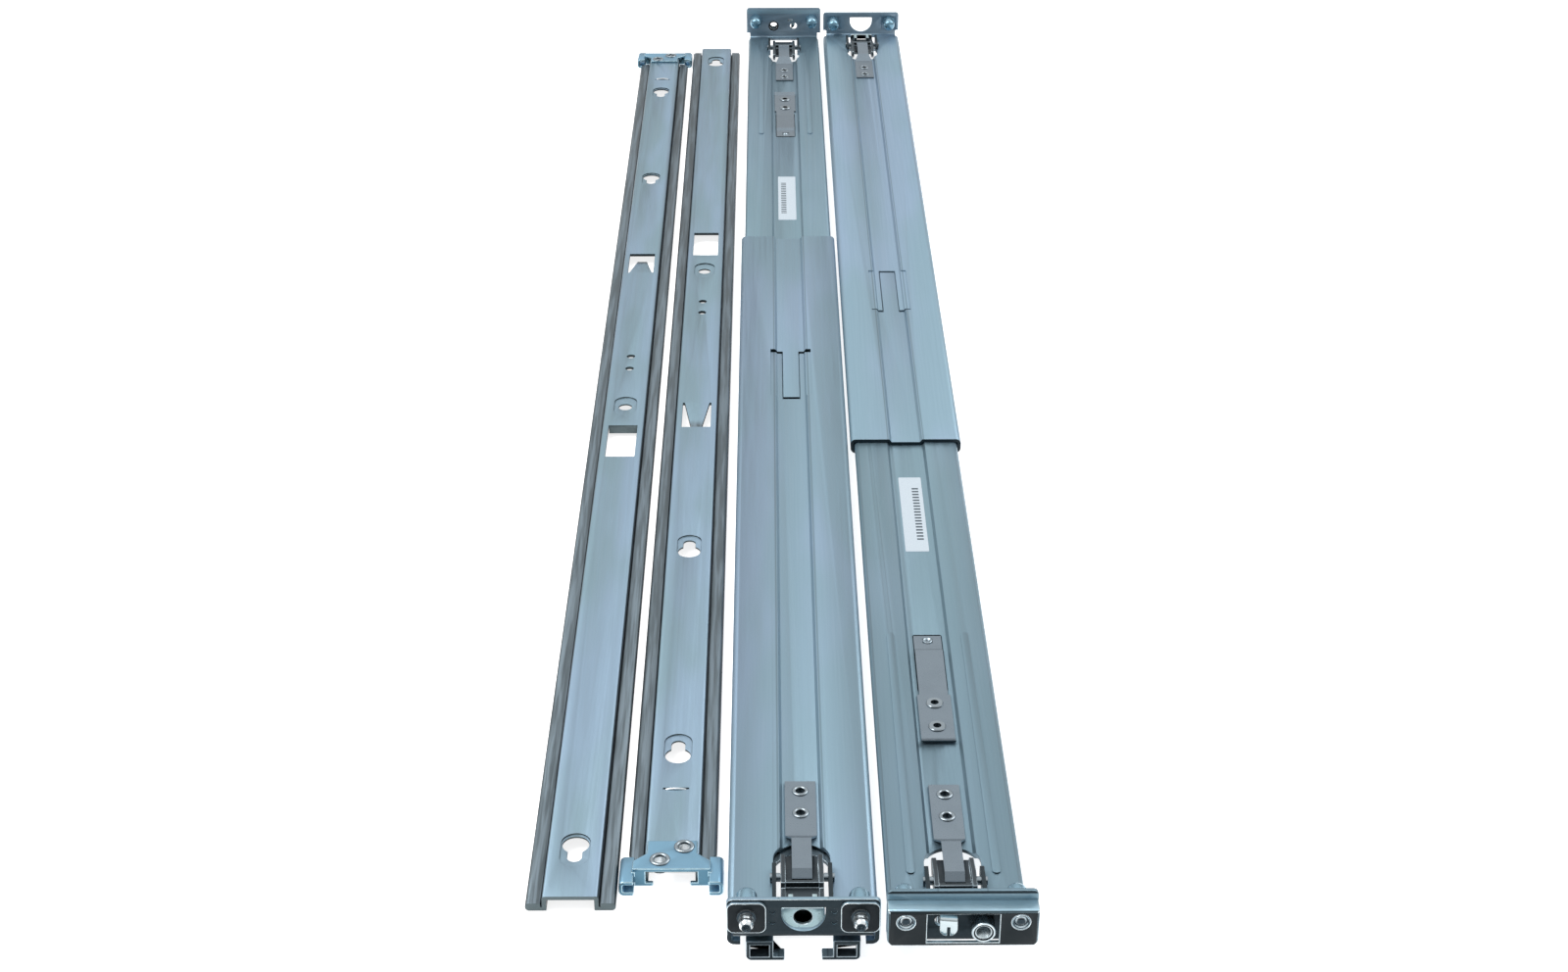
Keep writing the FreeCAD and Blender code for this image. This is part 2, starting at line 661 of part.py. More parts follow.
def rear_channel(label):
    """Wide rear channel with its rack plate, pressed pads and lanced tongue."""
    body = new_body(label)
    half = channel_half(S.wide_half, S.wide_edge, S.wide_curl, FLANGE,
                        S.wide_half - S.wide_lip, S.groove_half, S.groove_run,
                        S.groove_under)
    extrude(body, "Pad", "XZ_Plane", S.relief_depth, S.wide_length, [joined(half)])
    rack_plate(body, S.wide_half, S.rear_plate_top)
    pad = soft_box(PIN_X - S.pad_half_width, PIN_X + S.pad_half_width, S.pad_low,
                   S.pad_high, S.pad_corner)
    extrude(body, "Pad", "XZ_Plane", -S.pad_proud, ZERO, both(pad))
    inset = S.sheet
    hollow = soft_box(PIN_X - S.pad_half_width + inset, PIN_X + S.pad_half_width - inset,
                      S.pad_low + inset, S.pad_high - inset, S.pad_corner - inset)
    extrude(body, "Pocket", "XZ_Plane", S.sheet - S.pad_proud, S.sheet, both(hollow))
    pin_holes = [("circle", PIN_X * way, S.rear_pin_height, S.rear_pin_radius)
                 for way in (1, -1)]
    low = S.view_hole_middle - S.view_hole_half
    view_hole = [(S.view_hole_half, S.view_hole_middle), (S.view_hole_half, S.view_hole_top),
                 (-S.view_hole_half, S.view_hole_top),
                 (-S.view_hole_half, S.view_hole_middle, S.view_hole_half),
                 (ZERO, low, S.view_hole_half)]
    extrude(body, "Pocket", "XZ_Plane", -OVER, S.sheet, pin_holes + [view_hole])
    dots = [("circle", S.dot_x * way, height, S.dot_radius)
            for way in (1, -1) for height in (S.dot_low, S.dot_high)]
    extrude(body, "Pocket", "XZ_Plane", ZERO, S.dot_depth, dots)
    latch_opening(body)
    floor_holes(body, SPRING_SPOTS, S.rivet_shank_radius)
    lanced_tongue(body)
    return body


def lanced_tongue(body):
    """The tongue cut out of the wide web, between two pressed strips."""
    inner = S.tongue_half + S.tongue_slit
    gap = box(-inner, inner, S.tongue_start - S.tongue_gap, S.tongue_start)
    slit = box(S.tongue_half, inner, S.tongue_start, S.tongue_end)
    slot = box(inner, S.tongue_strip, S.tongue_end - S.tongue_slot, S.tongue_end)
    for shapes in ([gap], both(slit), both(slot)):
        extrude(body, "Pocket", "XY_Plane", -UNDER - OVER, OVER, shapes)
    strip = box(S.groove_half + S.groove_run / 2, S.tongue_strip, S.tongue_start,
                S.tongue_end - S.tongue_slot)
    extrude(body, "Pocket", "XY_Plane", -S.tongue_sink, OVER, both(strip))


def front_channel(label):
    """Narrow front channel with its rack plate, beads and lock spring window."""
    body = new_body(label)
    half = channel_half(S.narrow_half, S.narrow_edge, S.narrow_edge, S.narrow_lip_low,
                        S.narrow_lip_edge, S.narrow_groove_half, S.groove_run,
                        S.groove_under)
    extrude(body, "Pad", "XZ_Plane", S.relief_depth, S.narrow_length, [joined(half)])
    rack_plate(body, S.front_plate_half, S.front_plate_top)
    pin_holes = [("circle", PIN_X * way, S.front_pin_height, S.front_pin_radius)
                 for way in (1, -1)]
    socket = ("circle", S.socket_x, S.socket_z, S.socket_neck)
    spare = ("circle", -S.socket_x, S.socket_z, S.spare_hole_radius)
    tab = box(S.hook_x - S.hook_tab_half, S.hook_x + S.hook_tab_half,
              S.hook_top - S.sheet, S.hook_top)
    extrude(body, "Pocket", "XZ_Plane", -OVER, S.sheet, pin_holes + [socket, spare, tab])
    latch_opening(body)
    floor_holes(body, SPRING_SPOTS + LOCK_SPOTS, S.rivet_shank_radius)
    bead = capsule(S.bead_x, S.bead_half, S.bead_start, S.bead_end)
    extrude(body, "Pad", "XY_Plane", ZERO, S.bead_height, both(bead))
    window = soft_box(-S.window_half, S.window_half, S.window_start, S.window_end, OVER)
    extrude(body, "Pocket", "XY_Plane", -UNDER - OVER, OVER, [window])
    countersinks(body)
    return body


def countersinks(body):
    """Countersunk holes for the track's flush rivets in the groove's floor."""
    for spot in FLUSH_SPOTS:
        cut = turned_cut(body, (ZERO, spot, ZERO), [
            (-UNDER - OVER, ZERO), (-UNDER - OVER, S.flush_shank_radius),
            (-GROOVE - S.flush_head, S.flush_shank_radius),
            (-GROOVE, S.flush_head_radius), (OVER, S.flush_head_radius), (OVER, ZERO)])
        cut.Label = body.Label + "_countersink"


def turned_cut(body, place, profile):
    """Cuts a turned shape about an upright axis through place."""
    x, y, z = place
    sketch = new_sketch(body, "XZ_Plane", (x, z, -size(y)))
    draw_outline(sketch, [(corner[1], corner[0]) for corner in profile])
    feature = body.newObject("PartDesign::Groove", body.Label + "_turned")
    feature.Profile = sketch
    feature.ReferenceAxis = (sketch, ["V_Axis"])
    feature.Angle = 360
    sketch.Visibility = False
    return feature


def slide_track(label):
    """C-shaped track riveted under the narrow channel."""
    body = new_body(label)
    top = -UNDER
    low = -NARROW_TOP
    half, gap = S.track_half, S.track_gap_half
    inner = half - S.sheet
    tight = S.track_corner - S.sheet
    section = rounded([
        (half, top, S.track_corner), (half, low, S.track_corner), (gap, low),
        (gap, low + S.sheet), (inner, low + S.sheet, tight), (inner, top - S.sheet, tight),
        (-inner, top - S.sheet, tight), (-inner, low + S.sheet, tight),
        (-gap, low + S.sheet), (-gap, low), (-half, low, S.track_corner),
        (-half, top, S.track_corner)])
    extrude(body, "Pad", "XZ_Plane", S.track_start, S.track_end, [section])
    holes = [("circle", ZERO, spot, S.flush_shank_radius) for spot in FLUSH_SPOTS]
    holes += [("circle", ZERO, spot, S.rivet_shank_radius)
              for spot in (S.spring_rivet_two,) + LOCK_SPOTS]
    extrude(body, "Pocket", "XY_Plane", top - S.sheet - OVER, top + OVER, holes)
    return body


def slide_track_rivets(label):
    """Flush rivets that hold the track to the groove's floor."""
    body = new_body(label)
    bottom = -UNDER - S.sheet
    for spot in FLUSH_SPOTS:
        turned(body, "z", (ZERO, spot, ZERO), [
            (-GROOVE, ZERO), (-GROOVE, S.flush_head_radius),
            (-GROOVE - S.flush_head, S.flush_shank_radius), (bottom, S.flush_shank_radius),
            (bottom, S.flush_head_radius), (bottom - S.rivet_head, S.flush_head_radius),
            (bottom - S.rivet_head, ZERO)])
    return body


def rear_guide(label):
    """Guide plate with two feet under the rear end of the wide channel."""
    body = new_body(label)
    top = -UNDER
    under = top - S.sheet
    low = -S.wide_top
    half = S.guide_half
    cut = S.cut_half
    corner = S.guide_corner
    inner = S.guide_inner_half
    narrowed = S.guide_shoulder + half - inner
    plan = rounded([
        (cut, S.guide_start), (half, S.guide_start), (half, S.guide_shoulder),
        (inner, narrowed), (inner, S.guide_end, corner), (-inner, S.guide_end, corner),
        (-inner, narrowed), (-half, S.guide_shoulder), (-half, S.guide_start),
        (-cut, S.guide_start)])
    plan += [(-cut, S.guide_cut_end - cut, -cut), (ZERO, S.guide_cut_end, -cut),
             (cut, S.guide_cut_end - cut)]
    extrude(body, "Pad", "XY_Plane", under, top, [plan])
    foot = rounded([(cut, under), (half, under), (half, low, corner), (S.guide_toe, low),
                    (S.guide_toe, low + S.sheet), (cut, low + S.sheet)])
    hollow = box(cut + S.sheet, half - S.sheet, low + S.sheet, under - OVER / 5)
    extrude(body, "Pad", "XZ_Plane", S.guide_start, S.guide_foot_end, both(foot) + both(hollow))
    floor = [("circle", ZERO, spot, S.rivet_shank_radius) for spot in SPRING_SPOTS]
    extrude(body, "Pocket", "XY_Plane", under - OVER, top + OVER, floor)
    return body


# ---------------------------------------------------------------- rack plate fittings

def front_bezel(label):
    """Cap in front of the front rack plate, open below, with a window."""
    body = new_body(label)
    sheet = S.sheet
    half = S.bezel_half
    low, high = S.bezel_low, S.bezel_high
    outer = [(-half, low), (half, low), (half, high), (-half, high)]
    extrude(body, "Pad", "XZ_Plane", -S.bezel_reach, ZERO, [outer])
    left, top = half.number, high.number
    front = -S.bezel_reach.number
    ease(body, "Fillet", S.bezel_edge,
         lambda b: level_at(b.YMin, b.YMax, front) and b.ZMax > top - 1e-3)
    hollow = box(-half + sheet, half - sheet, low - OVER, high - sheet)
    extrude(body, "Pocket", "XZ_Plane", -S.bezel_reach + sheet, ZERO, [hollow])
    window = box(-S.bezel_window_half, S.bezel_window_half, S.bezel_window_low,
                 S.bezel_window_high)
    holes = [("circle", PIN_X * way, S.front_pin_height, S.front_pin_radius + S.pin_fit)
             for way in (1, -1)]
    extrude(body, "Pocket", "XZ_Plane", -S.bezel_reach - OVER, -S.bezel_reach + sheet,
            [window] + holes)
    corner = [(half - S.bezel_chamfer, low - OVER), (half + OVER, low - OVER),
              (half + OVER, low + S.bezel_chamfer), (half, low + S.bezel_chamfer),
              (half - S.bezel_chamfer, low)]
    extrude(body, "Pocket", "XZ_Plane", -S.bezel_reach - OVER, ZERO, both(corner))
    return body


def thumbscrew_socket(label):
    """Threaded barrel pressed into the front rack plate."""
    body = new_body(label)
    turned(body, "y", (S.socket_x, ZERO, S.socket_z), [
        (-S.socket_reach, S.socket_bore), (-S.socket_reach, S.socket_radius),
        (ZERO, S.socket_radius), (ZERO, S.socket_neck), (S.sheet, S.socket_neck),
        (S.sheet, S.socket_bore)])
    return body


def front_hook(label):
    """Bright hook staked through the front rack plate."""
    body = new_body(label)
    sheet = S.sheet
    bend = S.hook_bend
    profile = [(ZERO, S.hook_top), (-S.hook_reach + bend, S.hook_top, bend),
               (-S.hook_reach, S.hook_top - bend), (-S.hook_reach, S.hook_low),
               (-S.hook_reach + sheet, S.hook_low),
               (-S.hook_reach + sheet, S.hook_top - bend, sheet - bend),
               (-S.hook_reach + bend, S.hook_top - sheet), (ZERO, S.hook_top - sheet)]
    extrude(body, "Pad", "YZ_Plane", S.hook_x - S.hook_half, S.hook_x + S.hook_half, [profile])
    low = S.hook_low.number
    ease(body, "Fillet", S.hook_half - OVER / 10,
         lambda b: level_at(b.ZMin, b.ZMax, low) and b.XLength < 1e-3)
    tab = box(S.hook_x - S.hook_tab_half, S.hook_x + S.hook_tab_half, S.hook_top - sheet,
              S.hook_top)
    extrude(body, "Pad", "XZ_Plane", -OVER / 2, sheet, [tab])
    slit = box(S.hook_x - S.hook_slit_half, S.hook_x + S.hook_slit_half,
               S.hook_low - OVER, S.hook_slit_top)
    extrude(body, "Pocket", "XZ_Plane", -S.hook_reach - OVER, -S.hook_reach + sheet + OVER / 5,
            [slit])
    return body


def pin_tail(start):
    """Collar and round-ended tail of a rack pin behind the plate."""
    dome = S.tail_dome
    return [(start, S.tail_collar_radius), (S.tail_collar_end, S.tail_collar_radius),
            (S.tail_collar_end, S.tail_radius), (S.tail_end - dome, S.tail_radius, -dome),
            (S.tail_end, S.tail_radius - dome), (S.tail_end, ZERO)]


def rear_rack_pins(label):
    """The two pins of the rear rack plate."""
    body = new_body(label)
    tip = -S.rear_pin_reach
    face = -S.pad_proud
    seat = S.sheet - S.pad_proud
    socket = tip + S.pin_socket_depth
    profile = [
        (socket, ZERO), (socket, S.pin_socket_radius), (tip, S.pin_socket_radius),
        (tip, S.rear_pin_radius - S.pin_chamfer), (tip + S.pin_chamfer, S.rear_pin_radius),
        (face - S.pin_ring_width, S.rear_pin_radius),
        (face - S.pin_ring_width, S.pin_ring_radius), (face, S.pin_ring_radius),
        (face, S.rear_pin_radius), (seat, S.rear_pin_radius)] + pin_tail(seat)
    for way in (1, -1):
        turned(body, "y", (PIN_X * way, ZERO, S.rear_pin_height), profile)
    return body


def front_rack_pins(label):
    """The two pins of the front rack plate, flush with the bezel."""
    body = new_body(label)
    tip = -S.bezel_reach
    socket = tip + S.pin_socket_depth
    chamfer = S.pin_chamfer / 2
    profile = [
        (socket, ZERO), (socket, S.pin_socket_radius), (tip, S.pin_socket_radius),
        (tip, S.front_pin_radius - chamfer), (tip + chamfer, S.front_pin_radius),
        (S.sheet, S.front_pin_radius)] + pin_tail(S.sheet)
    for way in (1, -1):
        turned(body, "y", (PIN_X * way, ZERO, S.front_pin_height), profile)
    return body


# ---------------------------------------------------------------- latch

ARM_BACK = ((11.0, 0.9), (19.5, 1.0), (20.2, 2.5), (27.0, 2.9), (31.0, 1.9), (35.0, 1.1),
            (36.5, -1.0), (33.0, -3.0), (18.0, -3.8))
ARM_FRONT = ((-3.6, -0.9),)


def latch(label, front):
    """Two-armed latch plate; front is where its arms start."""
    body = new_body(label)
    low, high = ARM_FRONT[0]
    side = [(front, low), (front, high)]
    side += [corner for corner in ARM_BACK if corner[0] > front.number]
    side.reverse()
    for start, end in ((S.arm_inner, S.arm_outer), (-S.arm_outer, -S.arm_inner)):
        extrude(body, "Pad", "YZ_Plane", start, end, [side])
    join = S.arm_inner + OVER / 5
    plate = box(-join, join, S.latch_plate_start, S.latch_plate_end)
    extrude(body, "Pad", "XY_Plane", S.latch_plate_low, S.latch_plate_high, [plate])
    bar = box(-join, join, S.bar_start, S.bar_end)
    extrude(body, "Pad", "XY_Plane", S.latch_plate_high, S.bar_top, [bar])
    hole = ("circle", S.pivot_y, S.pivot_z, S.pivot_radius + S.pivot_gap)
    extrude(body, "Pocket", "YZ_Plane", -S.arm_outer - OVER, S.arm_outer + OVER, [hole])
    return body


def latch_pivots(label):
    """Two shouldered stub rivets that carry a latch between the ears."""
    body = new_body(label)
    inner = S.arm_inner + S.side_gap
    shoulder = S.arm_outer + S.side_gap
    outer = S.ear_inner + S.sheet
    for way in (1, -1):
        profile = [
            (inner, ZERO), (outer + S.pivot_head, ZERO),
            (outer + S.pivot_head, S.pivot_head_radius), (outer, S.pivot_head_radius),
            (outer, S.pivot_radius), (S.ear_inner, S.pivot_radius),
            (S.ear_inner, S.pivot_head_radius), (shoulder, S.pivot_head_radius),
            (shoulder, S.pivot_radius), (inner, S.pivot_radius)]
        if way < 0:
            profile = [(-corner[0], corner[1]) for corner in reversed(profile)]
        turned(body, "x", (ZERO, S.pivot_y, S.pivot_z), profile)
    return body


def latch_spring(label):
    """Leaf spring on the groove's floor whose tongue presses the latch plate."""
    body = new_body(label)
    leaf = S.leaf
    floor = -GROOVE + leaf
    dip = S.latch_plate_high + S.spring_gap + leaf
    top = [(S.spring_end, floor), (S.spring_bend, floor), (S.spring_neck, S.spring_neck_z),
           (S.spring_crest, S.spring_crest_z), (S.spring_dip, dip),
           (S.spring_tip, S.spring_tip_z)]
    under = [(y, z - leaf) for y, z in reversed(top)]
    extrude(body, "Pad", "YZ_Plane", -S.spring_half, S.spring_half, [top + under])
    side = [(S.tongue_width, S.spring_tip - OVER), (S.spring_half + OVER, S.spring_tip - OVER),
            (S.spring_half + OVER, S.spring_bend), (S.spring_half, S.spring_bend),
            (S.tongue_width, S.spring_neck)]
    extrude(body, "Pocket", "XY_Plane", -UNDER, S.spring_crest_z + OVER, both(side))
    holes = [("circle", ZERO, spot, S.rivet_shank_radius) for spot in SPRING_SPOTS]
    extrude(body, "Pocket", "XY_Plane", -UNDER, S.spring_crest_z + OVER, holes)
    return body


def hollow_rivets(label, spots, head, bottoms):
    """Hollow rivets on a leaf spring, each clenched under its own lowest sheet."""
    body = new_body(label)
    top = -GROOVE + S.leaf
    for spot, bottom in zip(spots, bottoms):
        turned(body, "z", (ZERO, spot, ZERO), [
            (top + S.rivet_head, S.rivet_bore_radius),
            (top + S.rivet_head, head - S.rivet_head / 2),
            (top + S.rivet_head / 2, head), (top, head), (top, S.rivet_shank_radius),
            (bottom, S.rivet_shank_radius), (bottom, S.rivet_head_radius),
            (bottom - S.rivet_head, S.rivet_head_radius),
            (bottom - S.rivet_head, S.rivet_bore_radius)])
    return body


def rear_screw_plate(label):
    """Light plate that stands in front of the rear latch's arms."""
    body = new_body(label)
    start = S.screw_plate_start
    plate = soft_box(-S.screw_plate_half, S.screw_plate_half, S.screw_plate_low,
                     S.screw_plate_high, OVER)
    hole = ("circle", ZERO, S.screw_hole_z, S.screw_hole_radius)
    extrude(body, "Pad", "XZ_Plane", start, start + S.sheet, [plate, hole])
    foot = box(-S.screw_foot_half, S.screw_foot_half, start + S.sheet / 2, S.screw_foot_end)
    extrude(body, "Pad", "XY_Plane", S.latch_plate_high, S.screw_plate_high, [
        box(-S.screw_foot_half, -S.screw_hole_radius, start + S.sheet / 2, S.screw_foot_end),
        box(S.screw_hole_radius, S.screw_foot_half, start + S.sheet / 2, S.screw_foot_end)])
    return body


def lock_spring(label):
    """Leaf spring over the window that stops the wide channel."""
    body = new_body(label)
    leaf = S.leaf
    floor = -GROOVE + leaf
    rise = floor + S.lock_rise
    end = rise - S.lock_drop - S.lock_rise
    top = [(S.lock_end, end), (S.lock_step + leaf * 3, end), (S.lock_step, rise),
           (S.lock_bend, floor), (S.lock_flat, floor), (S.lock_start, floor + S.lock_lift)]
    under = [(y, z - leaf) for y, z in reversed(top)]
    extrude(body, "Pad", "YZ_Plane", -S.lock_half, S.lock_half, [top + under])
    side = box(S.lock_arm_half, S.lock_half + OVER, S.lock_neck, S.lock_end + OVER)
    extrude(body, "Pocket", "XY_Plane", -UNDER - OVER, OVER, both(side))
    holes = [("circle", ZERO, spot, S.rivet_shank_radius) for spot in LOCK_SPOTS]
    extrude(body, "Pocket", "XY_Plane", -UNDER - OVER, OVER, holes)
    middle = S.lock_end - S.lock_dimple * 2
    dimple = box(-S.lock_dimple, S.lock_dimple, middle - S.lock_dimple,
                 middle + S.lock_dimple)
    extrude(body, "Pocket", "XY_Plane", end - leaf / 2, OVER, [dimple])
    return body


def blank_label(label):
    """Blank self-adhesive label in the narrow channel's groove."""
    body = new_body(label)
    extrude(body, "Pad", "XY_Plane", -GROOVE, -GROOVE + S.label_thick, [
        soft_box(-S.label_half, S.label_half, S.label_start, S.label_end, OVER / 2)])
    return body


# ---------------------------------------------------------------- inner member

def inner_member(label):
    """Hat-shaped inner member with hems, keyholes and lanced windows."""
    body = new_body(label)
    sheet = S.inner_sheet
    top = S.inner_top
    web = S.inner_web_half
    hem = sheet * 2
    edge = S.hem_edge
    half = rounded([
        (ZERO, top), (web, top, OVER), (web, sheet), (web + S.hem_slit, sheet),
        (web + S.hem_slit, hem), (S.inner_half, hem, edge), (S.inner_half, ZERO, edge),
        (web - sheet, ZERO), (web - sheet, top - sheet)])[1:]
    extrude(body, "Pad", "XZ_Plane", ZERO, S.inner_web_length, [joined(half)])
    round_end = S.inner_half - web
    side = [(web, S.hem_length, -round_end), (S.inner_half, S.hem_length - round_end),
            (S.inner_half + OVER, S.hem_length - round_end),
            (S.inner_half + OVER, S.inner_web_length + OVER),
            (web, S.inner_web_length + OVER)]
    extrude(body, "Pocket", "XY_Plane", -OVER, hem + OVER / 10, both(side))
    keyholes(body)
    inner_windows(body)
    return body


def keyholes(body):
    """The dished keyholes and the small dished hole of the inner web."""
    sheet = S.inner_sheet
    top = S.inner_top
    dishes = [capsule(ZERO, S.key_dish_half, spot - S.key_dish_start, spot + S.key_dish_end)
              for spot in KEYHOLES]
    dishes.append(capsule(ZERO, S.small_dish_half, S.small_key - S.small_dish_reach,
                          S.small_key + S.small_dish_reach))
    extrude(body, "Pocket", "XY_Plane", top - S.key_dish_depth, top + OVER, dishes)
    entries = [("circle", ZERO, spot, S.key_hole_radius) for spot in KEYHOLES]
    entries.append(("circle", ZERO, S.small_key, S.small_key_radius))
    entries += [("circle", ZERO, spot, S.dimple_radius)
                for spot in (S.dimple_one, S.dimple_two)]
    extrude(body, "Pocket", "XY_Plane", top - sheet - OVER, top + OVER, entries)
    slots = [capsule(ZERO, S.key_slot_half, spot - S.key_slot_reach, spot)
             for spot in KEYHOLES]
    extrude(body, "Pocket", "XY_Plane", top - sheet - OVER, top + OVER, slots)


def inner_windows(body):
    """The plain window with its flange, the lanced window with its tab, and the slit."""
    sheet = S.inner_sheet
    top = S.inner_top
    under = top - sheet
    window = box(-S.window_two_half, S.window_two_half, S.window_two_start, S.window_two_end)
    lance = box(-S.lance_half, S.lance_half, S.lance_start, S.lance_end)
    slit = box(-S.slit_reach, S.slit_reach, S.slit_place - S.slit_half,
               S.slit_place + S.slit_half)
    extrude(body, "Pocket", "XY_Plane", under - OVER, top + OVER, [window, lance, slit])
    flange = box(-S.window_two_half, S.window_two_half, S.window_two_end,
                 S.window_two_end + sheet)
    extrude(body, "Pad", "XY_Plane", under - S.window_flange, under, [flange])
    tab = [(S.lance_start - sheet, under), (S.lance_start - sheet, top),
           (S.lance_start, top), (S.lance_tab_end, S.lance_tab_low + sheet),
           (S.lance_tab_end, S.lance_tab_low), (S.lance_start, under)]
    tab.reverse()
    extrude(body, "Pad", "YZ_Plane", -S.lance_tab_half, S.lance_tab_half, [tab])
    side = [(S.lance_tab_half, S.lance_start), (S.lance_tab_half + OVER / 2, S.lance_start),
            (S.lance_tab_half + OVER / 2, S.lance_tab_end + OVER),
            (S.lance_foot_half, S.lance_tab_end + OVER)]
    extrude(body, "Pocket", "XY_Plane", ZERO, top + OVER, both(side))


def end_bracket(label):
    """Blue bracket riveted on the end of an inner member."""
    body = new_body(label)
    sheet = S.sheet
    low = S.inner_top
    high = low + sheet
    plan = joined([
        (S.bracket_half, S.bracket_start), (S.bracket_half, S.bracket_flare),
        (S.bracket_wide_half, S.bracket_wide), (S.bracket_wide_half, S.bracket_end)])
    extrude(body, "Pad", "XY_Plane", low, high, [plan])
    wall = [(S.bracket_cut_half, low), (S.bracket_cut_half, sheet), (S.bracket_toe, sheet),
            (S.bracket_toe, ZERO), (S.bracket_wide_half, ZERO), (S.bracket_wide_half, low)]
    extrude(body, "Pad", "XZ_Plane", S.bracket_end - sheet, S.bracket_end, both(wall))
    half, inner, top = S.bracket_ear_half, S.bracket_ear_inner, S.bracket_ear_top
    corner = S.bracket_corner
    tight = corner - sheet
    ear = rounded([
        (inner, top), (inner, top - sheet), (half - sheet, top - sheet, tight),
        (half - sheet, sheet, tight), (inner, sheet), (inner, ZERO), (half, ZERO, corner),
        (half, top, corner)])
    extrude(body, "Pad", "XZ_Plane", S.bracket_ear_start, S.bracket_ear_end, both(ear))
    holes = [("circle", S.eyelet_x, S.eyelet_far, S.eyelet_shank),
             ("circle", -S.eyelet_x, S.eyelet_near, S.eyelet_shank)]
    extrude(body, "Pocket", "XY_Plane", low - OVER, high + OVER, holes)
    return body


def bracket_holes(body):
    """Holes in the inner web for the bracket's rivets."""
    holes = [("circle", S.eyelet_x, S.eyelet_far, S.eyelet_shank),
             ("circle", -S.eyelet_x, S.eyelet_near, S.eyelet_shank)]
    extrude(body, "Pocket", "XY_Plane", S.inner_top - S.inner_sheet - OVER,
            S.inner_top + OVER, holes)


def bracket_rivets(label):
    """Two hollow rivets through the bracket and the inner web."""
    body = new_body(label)
    top = S.inner_top + S.sheet
    bottom = S.inner_top - S.inner_sheet
    for x, y in ((S.eyelet_x, S.eyelet_far), (-S.eyelet_x, S.eyelet_near)):
        turned(body, "z", (x, y, ZERO), [
            (top + S.rivet_head, S.eyelet_bore), (top + S.rivet_head, S.eyelet_head - OVER / 4),
            (top + S.rivet_head / 2, S.eyelet_head), (top, S.eyelet_head),
            (top, S.eyelet_shank), (bottom, S.eyelet_shank), (bottom, S.rivet_head_radius),
            (bottom - S.rivet_head, S.rivet_head_radius),
            (bottom - S.rivet_head, S.eyelet_bore)])
    return body


# ---------------------------------------------------------------- assembly

def place(body, x, y, z, turn):
    """Puts a body at x, y, z, turned by turn degrees about z."""
    body.Placement = FreeCAD.Placement(Vector(0, 0, 0), FreeCAD.Rotation(Vector(0, 0, 1), turn))
    for axis, value in zip("xyz", (x, y, z)):
        body.setExpression("Placement.Base." + axis, size(value).formula)


def outer_rail(side, x, turn):
    """All the pieces of one outer rail; turn is 0 or 180 degrees about z."""
    way = 1 if turn == 0 else -1
    end = S.rail_length / 2
    two_sheets = -UNDER
    three_sheets = -UNDER - S.sheet
    rear = (
        rear_channel(side + "_rear_channel"),
        rear_guide(side + "_rear_guide"),
        rear_rack_pins(side + "_rear_rack_pins"),
        latch(side + "_rear_latch", S.screw_plate_start + S.sheet),
        rear_screw_plate(side + "_rear_screw_plate"),
        latch_pivots(side + "_rear_latch_pivots"),
        latch_spring(side + "_rear_latch_spring"),
        hollow_rivets(side + "_rear_latch_spring_rivets", SPRING_SPOTS,
                      S.rivet_head_radius, (three_sheets, three_sheets)),
    )
    front = (
        front_channel(side + "_front_channel"),
        slide_track(side + "_slide_track"),
        slide_track_rivets(side + "_slide_track_rivets"),
        front_bezel(side + "_front_bezel"),
        thumbscrew_socket(side + "_thumbscrew_socket"),
        front_hook(side + "_front_hook"),
        front_rack_pins(side + "_front_rack_pins"),
        latch(side + "_front_latch", S.nose_start),
        latch_pivots(side + "_front_latch_pivots"),
        latch_spring(side + "_front_latch_spring"),
        hollow_rivets(side + "_front_latch_spring_rivets", SPRING_SPOTS,
                      S.rivet_head_radius, (two_sheets, three_sheets)),
        lock_spring(side + "_lock_spring"),
        hollow_rivets(side + "_lock_spring_rivets", LOCK_SPOTS, S.lock_rivet_head,
                      (three_sheets, three_sheets)),
        blank_label(side + "_label"),
    )
    for body in rear:
        place(body, x, -end * way, S.wide_top, turn)
    for body in front:
        place(body, x, end * way, NARROW_TOP, 180 - turn)
    return rear + front


def inner_set(side, x, y, turn):
    """The inner member of one side with its bracket and rivets."""
    member = inner_member(side + "_inner_member")
    bracket_holes(member)
    bodies = (member, end_bracket(side + "_end_bracket"), bracket_rivets(side + "_bracket_rivets"))
    for body in bodies:
        place(body, x, y, ZERO, turn)
    return bodies


def check(doc):
    """Stops when any object failed or any shape is empty or invalid."""
    for item in doc.Objects:
        if "Invalid" in item.State or "Error" in item.State:
            raise ValueError("%s failed: %s" % (item.Label, item.State))
        if hasattr(item, "Shape") and item.isDerivedFrom("PartDesign::Feature"):
            if item.Shape.isNull() or not item.Shape.isValid():
                raise ValueError("bad shape in " + item.Label)


def main():
    """Builds every piece and writes one file for each."""
    bodies = []
    bodies += outer_rail("left", S.outer_left_x, 0)
    bodies += outer_rail("right", S.outer_right_x, 180)
    bodies += inner_set("left", S.inner_left_x, S.inner_left_y, 0)
    bodies += inner_set("right", S.inner_right_x, S.inner_right_y, 180)
    DOC.recompute()
    check(DOC)
    os.makedirs("parts", exist_ok=True)
    for body in bodies:
        body.Shape.exportStep("parts/%s.step" % body.Label)
        print(body.Label, len(body.Shape.Solids), round(body.Shape.Volume, 1))


main()
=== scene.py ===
import json
import math

